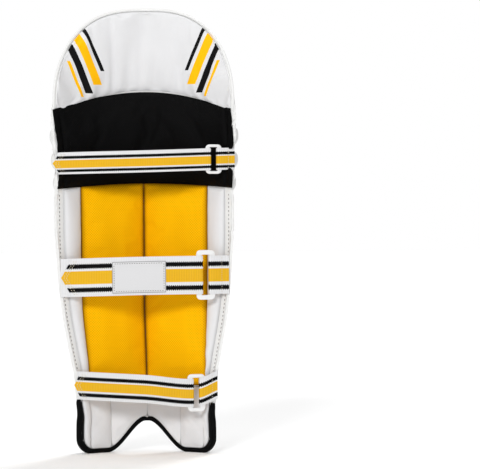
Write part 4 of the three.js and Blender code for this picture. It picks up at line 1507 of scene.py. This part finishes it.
class PAD_OT_wing_linings(bpy.types.Operator):
    """Adds the white padded wings beside the bolsters"""

    bl_idname = "pad.wing_linings"
    bl_label = "Wing Linings"

    def execute(self, context):
        for side, node in ((-1.0, "wing_lining_left"), (1.0, "wing_lining_right")):
            bm = quilt(12, 90, self.spot_of(side), cloth=True)
            material = lining_finish(context, "Wing lining", WING_PAINTED_SHADE_TONE)
            piece = add_piece(node + "_padding", bm, material, node)
            swell(piece, slack=0.0, reach=4.0)
        return {"FINISHED"}

    @staticmethod
    def spot_of(side):
        """Places points on one wing."""

        def spot(across, up):
            share = across if side > 0 else 1.0 - across
            guess = lerp(BOLSTER_OUTER[side][1], half_width(404.0) - FLANGE, share)
            top = cradle_edge(CRADLE_BOTTOM, guess) - CLOSED
            z = lerp(BOLSTER["bottom"], top, up)
            x = lerp(bolster_edge(side, z) + side * CLOSED, side * (shell_half(z) - FLANGE), share)
            loose = lerp(WING_SLACK["foot"], WING_SLACK["leg"], smoothstep(up, 0.0, WING_SLACK["up"]))
            fold = loose * puff(share) * puff(up) * unevenness(x * 0.8 + z * 0.4, z, 24.0, 111 + int(side))
            rise = RIM * 0.5 + WING_RISE * CUT["wing"] * puff(share) * puff(up) ** 0.5
            return x, z, np.full_like(x, -SEAT), -FACE - rise - fold

        return spot


class PAD_OT_instep_lining(bpy.types.Operator):
    """Adds the quilted lining over the feet"""

    bl_idname = "pad.instep_lining"
    bl_label = "Instep Lining"

    def execute(self, context):
        def spot(across, up):
            lobe, place, share = lobes(across, LINING_SEAMS)
            low = bottom_edge(share * FOOT_HALF) + LINING_CLEARANCE
            z = lerp(low, LINING_TOP, up)
            x = share * (shell_half(z) - LINING_INSET)
            fold = 0.2 * unevenness(x, z * 0.5, 22.0, 121) * puff(place) * puff(up)
            rise = RIM * 0.4 + LINING_RISE * CUT["instep_lining"] * puff(place) * puff(up, 4.0)
            return x, z, np.full_like(x, -SEAT), -FACE - rise - fold

        def seam(across, up):
            place = across * (len(LINING_SEAMS) - 1)
            return np.abs(place - np.rint(place)) < 1e-3

        bm = quilt(60, 22, spot, cloth=True, seam=seam)
        material = lining_finish(context, "Instep lining", INSTEP_PAINTED_SHADE_TONE)
        piece = add_piece("instep_lining_padding", bm, material, "instep_lining")
        swell(piece, slack=0.006, reach=4.0)
        return {"FINISHED"}


class PAD_OT_straps(bpy.types.Operator):
    """Adds the three striped straps and the tabs that hold their buckles"""

    bl_idname = "pad.straps"
    bl_label = "Straps"

    def execute(self, context):
        for strap in STRAPS:
            run = StrapRun(strap)
            ends = (run.rim[0] + STRAP_OVERHANG, strap["tip"])
            self.add_webbing(context, run, "_strap", 1.0, ends, STRAP_RUN, strap["point"])
            self.add_webbing(context, run, "_tab", -1.0, (strap["tab"], strap["tab"]), TAB_RUN)
        return {"FINISHED"}

    @staticmethod
    def turn_round(run, side):
        """Path in plan round one bar of the buckle, from the inner layer to the outer one."""
        strap = run.strap
        centre, along, back = run.buckle_frame()
        bar_outer = strap["long"] / 2 - strap["bar"]
        return [
            centre + along * side * reach + back * lift
            for reach, lift in (
                (strap["long"] / 2 + CONVERGE, -LAYER_OFFSET),
                (strap["long"] / 2 - 0.5, -BAR_OFFSET),
                (bar_outer, -BAR_OFFSET),
                (bar_outer - TURN_DEPTH, -TURN_FLAT),
                (bar_outer - TURN_DEPTH, TURN_FLAT),
                (bar_outer, BAR_OFFSET),
                (strap["long"] / 2 - 0.5, BAR_OFFSET),
                (strap["long"] / 2 + CONVERGE, LAYER_OFFSET),
            )
        ]

    def add_webbing(self, context, run, kind, side, ends, layers, point=0.0):
        """Webbing in two layers from its ends to the turn round one bar of the buckle."""
        strap = run.strap
        start = strap["buckle"] + side * (strap["long"] / 2 + CONVERGE + layers["clear"])
        offset = np.full(layers["count"], LAYER_OFFSET)
        inner = run.plan(np.linspace(ends[0], start, layers["count"]), -offset)
        outer = run.plan(np.linspace(start, ends[1], layers["count"]), offset)
        path = rounded_path([*inner, *self.turn_round(run, side), *outer], layers["step"])
        bm = ribbon(path, run.lean, run.height(path[:, 0]), strap["width"], point)
        node = strap["name"] + kind
        add_piece(node + "_webbing", bm, webbing_finish(context, strap), node)


class PAD_OT_buckles(bpy.types.Operator):
    """Adds the moulded buckles"""

    bl_idname = "pad.buckles"
    bl_label = "Buckles"

    def execute(self, context):
        for strap in STRAPS:
            run = StrapRun(strap)
            bm = self.ring(run)
            node = strap["name"] + "_buckle"
            add_piece(node + "_moulding", bm, plastic_finish(context), node, sharp=70.0)
        return {"FINISHED"}

    @staticmethod
    def outline(wide, tall, corner):
        """Rounded rectangle with the same number of points whatever its size."""
        points = []
        for x, y, start in ((1, 1, 0.0), (-1, 1, 0.5), (-1, -1, 1.0), (1, -1, 1.5)):
            for step in range(9):
                turn = (start + step / 16) * math.pi
                points.append((
                    x * (wide / 2 - corner) + corner * math.cos(turn),
                    y * (tall / 2 - corner) + corner * math.sin(turn)))
        return np.array(points)

    def ring(self, run):
        """Rounded frame between the buckle's outline and its window."""
        strap = run.strap
        outer = self.outline(strap["long"], strap["tall"], BUCKLE_CORNER)
        window = self.outline(
            strap["long"] - 2 * strap["bar"], strap["width"] + 2 * WINDOW_SLACK, WINDOW_CORNER)
        cosine, sine = superellipse(*BUCKLE_SECTION)
        flat = lerp(window[:, None], outer[:, None], ((cosine + 1.0) / 2)[:, None])
        centre, along, back = run.buckle_frame()
        plan = centre + flat[..., :1] * along + (sine * BUCKLE_THICKNESS / 2)[:, None] * back
        z = run.height(strap["buckle"]) + flat[..., 1]
        rings = np.stack((plan[..., 0], plan[..., 1] + run.lean(z), z), axis=-1)
        return sweep(rings, closed=True)


class PAD_OT_label(bpy.types.Operator):
    """Adds the bare white patch on the calf strap"""

    bl_idname = "pad.label"
    bl_label = "Label"

    def execute(self, context):
        run = StrapRun(STRAPS[1])
        lift = LAYER_OFFSET + WEBBING / 2 + LABEL["lift"]
        bm, flat = sheet(56, 34)
        edge = np.minimum(
            (0.5 - np.abs(flat[:, 0])) * LABEL["long"], (0.5 - np.abs(flat[:, 1])) * LABEL["tall"])
        pillow = LABEL["thickness"] * lerp(0.5, 1.0, round_end(edge, 2.5))
        uneven = unevenness(flat[:, 0] * LABEL["long"], flat[:, 1] * LABEL["tall"], 24.0, 131)
        ripple = LABEL["ripple"] * uneven
        offset = lift + np.where(flat[:, 2] < -0.5, 0.0, pillow + ripple * round_end(edge, 10.0))
        x = LABEL["x"] + flat[:, 0] * LABEL["long"]
        move_verts(bm, run.points(x, LABEL["across"] + flat[:, 1] * LABEL["tall"], offset))
        set_uv(bm, flat[:, :2] * (LABEL["long"], LABEL["tall"]))
        bmesh.ops.recalc_face_normals(bm, faces=bm.faces[:])
        add_piece("strap_label_patch", bm, label_finish(context), "strap_label")
        return {"FINISHED"}


class PAD_OT_stitching(bpy.types.Operator):
    """Sews the seams of the top, the flange, the straps and the label"""

    bl_idname = "pad.stitching"
    bl_label = "Stitching"

    def execute(self, context):
        sizes = context.scene.pad_sizes
        colours = context.scene.pad_colours
        bm = bmesh.new()
        self.sew_top_seams(bm, sizes)
        self.sew_dome(bm, sizes)
        self.sew_flange(bm, sizes)
        self.sew_label(bm, sizes)
        add_piece("seam_stitching", bm, thread_finish("Seam thread", colours.thread))
        bm = bmesh.new()
        for strap in STRAPS:
            self.sew_strap(bm, sizes, StrapRun(strap))
        thread = thread_finish("Webbing thread", colours.webbing_thread)
        add_piece("strap_stitching", bm, thread)
        return {"FINISHED"}

    @staticmethod
    def sew_top_seams(bm, sizes):
        """Stitches along the seams between the channels of the top."""
        for share in TOP_SEAMS[1:-1]:
            top = dome_edge(share, SHELL_TOP - TOP_FACE_INSET)
            z = np.linspace(TOP_FACE_BOTTOM + TOP_STITCHES["bottom"], top - TOP_STITCHES["top"], 80)
            x = share * (shell_half(z) - TOP_FACE_INSET)
            rise = RIM * 0.4 + TOP_RISE * TOP_SEAM["floor"] * top_face_ends(z, top)
            seam = on_pad(x, z, FACE + rise + STITCH_LIFT["face"])
            sew(bm, sizes, seam, surface_normal(x, z), SEAM_COARSENESS)

    @staticmethod
    def sew_dome(bm, sizes):
        """Stitches along the edge of the dome on the strike face."""
        share = np.linspace(-DOME_STITCHES, DOME_STITCHES, 160)
        z = dome_edge(share, SHELL_TOP - TOP_FACE_INSET / 2)
        x = share * (shell_half(z) - TOP_FACE_INSET / 2)
        seam = on_pad(x, z, np.full_like(z, BOARD / 2 + STITCH_LIFT["face"]))
        sew(bm, sizes, seam, surface_normal(x, z))

    @staticmethod
    def sew_flange(bm, sizes):
        """Stitches along the bare flange on the leg side."""
        low = BINDING_START + FLANGE_STITCHES["bottom"]
        z = np.linspace(low, CRADLE_BOTTOM["sides"] - FLANGE_STITCHES["top"], 120)
        for side in (-1.0, 1.0):
            x, forward = flared(side * (shell_half(z) - FLANGE / 3), z)
            seam = on_pad(x, z, forward - BOARD / 2 - STITCH_LIFT["flange"])
            sew(bm, sizes, seam, -surface_normal(x, z), SEAM_COARSENESS, FLANGE_THREAD)

    @staticmethod
    def sew_strap(bm, sizes, run):
        """Stitches across the tab and along the pointed tip."""
        strap = run.strap
        lift = LAYER_OFFSET + WEBBING / 2 + STITCH_LIFT["strap"]
        half = strap["width"] / 2 - STRAP_STITCH_INSET
        across = np.linspace(-half, half, 30)
        buckle_side = strap["buckle"] - strap["long"] / 2
        for inset in TAB_STITCHES:
            spot = np.full_like(across, buckle_side - inset)
            sew(bm, sizes, run.points(spot, across, np.full_like(across, lift)), run.normal(spot))
        for inset in TIP_STITCHES:
            point = strap["tip"] - inset - np.abs(across) / half * strap["point"]
            sew(bm, sizes, run.points(point, across, np.full_like(across, lift)), run.normal(point))

    @staticmethod
    def sew_label(bm, sizes):
        """Stitches round the border of the label."""
        run = StrapRun(STRAPS[1])
        lift = LAYER_OFFSET + WEBBING / 2 + LABEL["thickness"] + STITCH_LIFT["label"]
        wide = LABEL["long"] / 2 - LABEL_STITCH_INSET
        tall = LABEL["tall"] / 2 - LABEL_STITCH_INSET
        corners = ((-wide, -tall), (wide, -tall), (wide, tall), (-wide, tall), (-wide, -tall))
        for start, end in zip(corners[:-1], corners[1:]):
            x = LABEL["x"] + np.linspace(start[0], end[0], 30)
            across = LABEL["across"] + np.linspace(start[1], end[1], 30)
            sew(bm, sizes, run.points(x, across, np.full_like(x, lift)), run.normal(x))


class PAD_OT_stage(bpy.types.Operator):
    """Adds the studio floor, the soft lights and the camera"""

    bl_idname = "pad.stage"
    bl_label = "Stage"

    def execute(self, context):
        scene = context.scene
        scene.view_settings.view_transform = "Standard"
        self.add_floor(context)
        self.add_world(scene)
        for light in LIGHTS:
            self.add_light(scene, **light)
        self.add_camera(scene)
        return {"FINISHED"}

    @staticmethod
    def add_floor(context):
        """Wide pale floor with a faint clouding."""
        bm = bmesh.new()
        bmesh.ops.create_grid(bm, x_segments=24, y_segments=24, size=60.0)
        mesh = bpy.data.meshes.new("studio_floor")
        bm.to_mesh(mesh)
        bm.free()
        material, shade, shader = new_material("Studio floor")
        colour = context.scene.pad_colours.floor
        cloud = shade.noise(shade.on_piece(), 1.5)
        shade.feed(shader["Base Color"], shade.tones(cloud, colour, 0.99, 1.01))
        shader["Roughness"].default_value = 0.9
        shader["Specular IOR Level"].default_value = 0.1
        mesh.materials.append(material)
        floor = bpy.data.objects.new("studio_floor", mesh)
        context.scene.collection.objects.link(floor)

    @staticmethod
    def add_world(scene):
        """White surroundings that light the pad less than they show."""
        world = bpy.data.worlds.new("Studio")
        world.use_nodes = True
        shade = Shade(world.node_tree)
        background = world.node_tree.nodes["Background"].inputs
        background["Color"].default_value = (1.0, 1.0, 1.0, 1.0)
        seen = shade.node("ShaderNodeLightPath").outputs["Is Camera Ray"]
        shade.feed(background["Strength"], shade.span(seen, SKY_LIGHT, 1.0))
        scene.world = world

    @staticmethod
    def add_light(scene, name, direction, energy, softness):
        """Soft light from a direction."""
        light = bpy.data.lights.new(name, "SUN")
        light.energy = energy
        light.angle = math.radians(softness)
        lamp = bpy.data.objects.new(name, light)
        lamp.rotation_euler = Vector(direction).to_track_quat("Z", "Y").to_euler()
        scene.collection.objects.link(lamp)

    @staticmethod
    def add_camera(scene):
        """Level camera behind the pad, framed as the photograph is."""
        camera = bpy.data.cameras.new("Camera")
        camera.lens = LENS
        camera.sensor_width = SENSOR
        camera.sensor_fit = "HORIZONTAL"
        camera.clip_end = 50.0
        view = bpy.data.objects.new("Camera", camera)
        view.location = (FRAME_CENTRE[0], FRAME_PLANE + FRAME_WIDTH * LENS / SENSOR, FRAME_CENTRE[1])
        view.rotation_euler = (math.radians(90.0), FRAME_ROLL, math.radians(180.0))
        scene.collection.objects.link(view)
        scene.camera = view


STEPS = (
    PAD_OT_shell, PAD_OT_edge_trim, PAD_OT_top_face, PAD_OT_knee_rolls, PAD_OT_ribs, PAD_OT_side_panels,
    PAD_OT_instep_panel, PAD_OT_top_lining, PAD_OT_knee_cradle, PAD_OT_shin_bolsters, PAD_OT_wing_linings,
    PAD_OT_instep_lining, PAD_OT_straps, PAD_OT_buckles, PAD_OT_label, PAD_OT_stitching, PAD_OT_stage,
)


class PAD_PT_sidebar(bpy.types.Panel):
    """Lists the pieces of the pad with their sizes and colours"""

    bl_idname = "PAD_PT_sidebar"
    bl_label = "Batting Pad"
    bl_space_type = "VIEW_3D"
    bl_region_type = "UI"
    bl_category = "Batting Pad"

    def draw(self, context):
        layout = self.layout
        for group in (context.scene.pad_sizes, context.scene.pad_colours):
            for name in group.bl_rna.properties.keys():
                if name not in ("rna_type", "name"):
                    layout.prop(group, name)
        for step in STEPS:
            layout.operator(step.bl_idname)


CLASSES = (PadSizes, PadColours, *STEPS, PAD_PT_sidebar)


def register():
    """Registers the classes and the scene's own values."""
    for item in CLASSES:
        bpy.utils.register_class(item)
    bpy.types.Scene.pad_sizes = PointerProperty(type=PadSizes)
    bpy.types.Scene.pad_colours = PointerProperty(type=PadColours)


def unregister():
    """Removes what register adds."""
    del bpy.types.Scene.pad_colours
    del bpy.types.Scene.pad_sizes
    for item in reversed(CLASSES):
        bpy.utils.unregister_class(item)


def main():
    """Builds the pad piece by piece."""
    register()
    for step in STEPS:
        group, name = step.bl_idname.split(".")
        getattr(getattr(bpy.ops, group), name)()


if __name__ == "__main__":
    main()
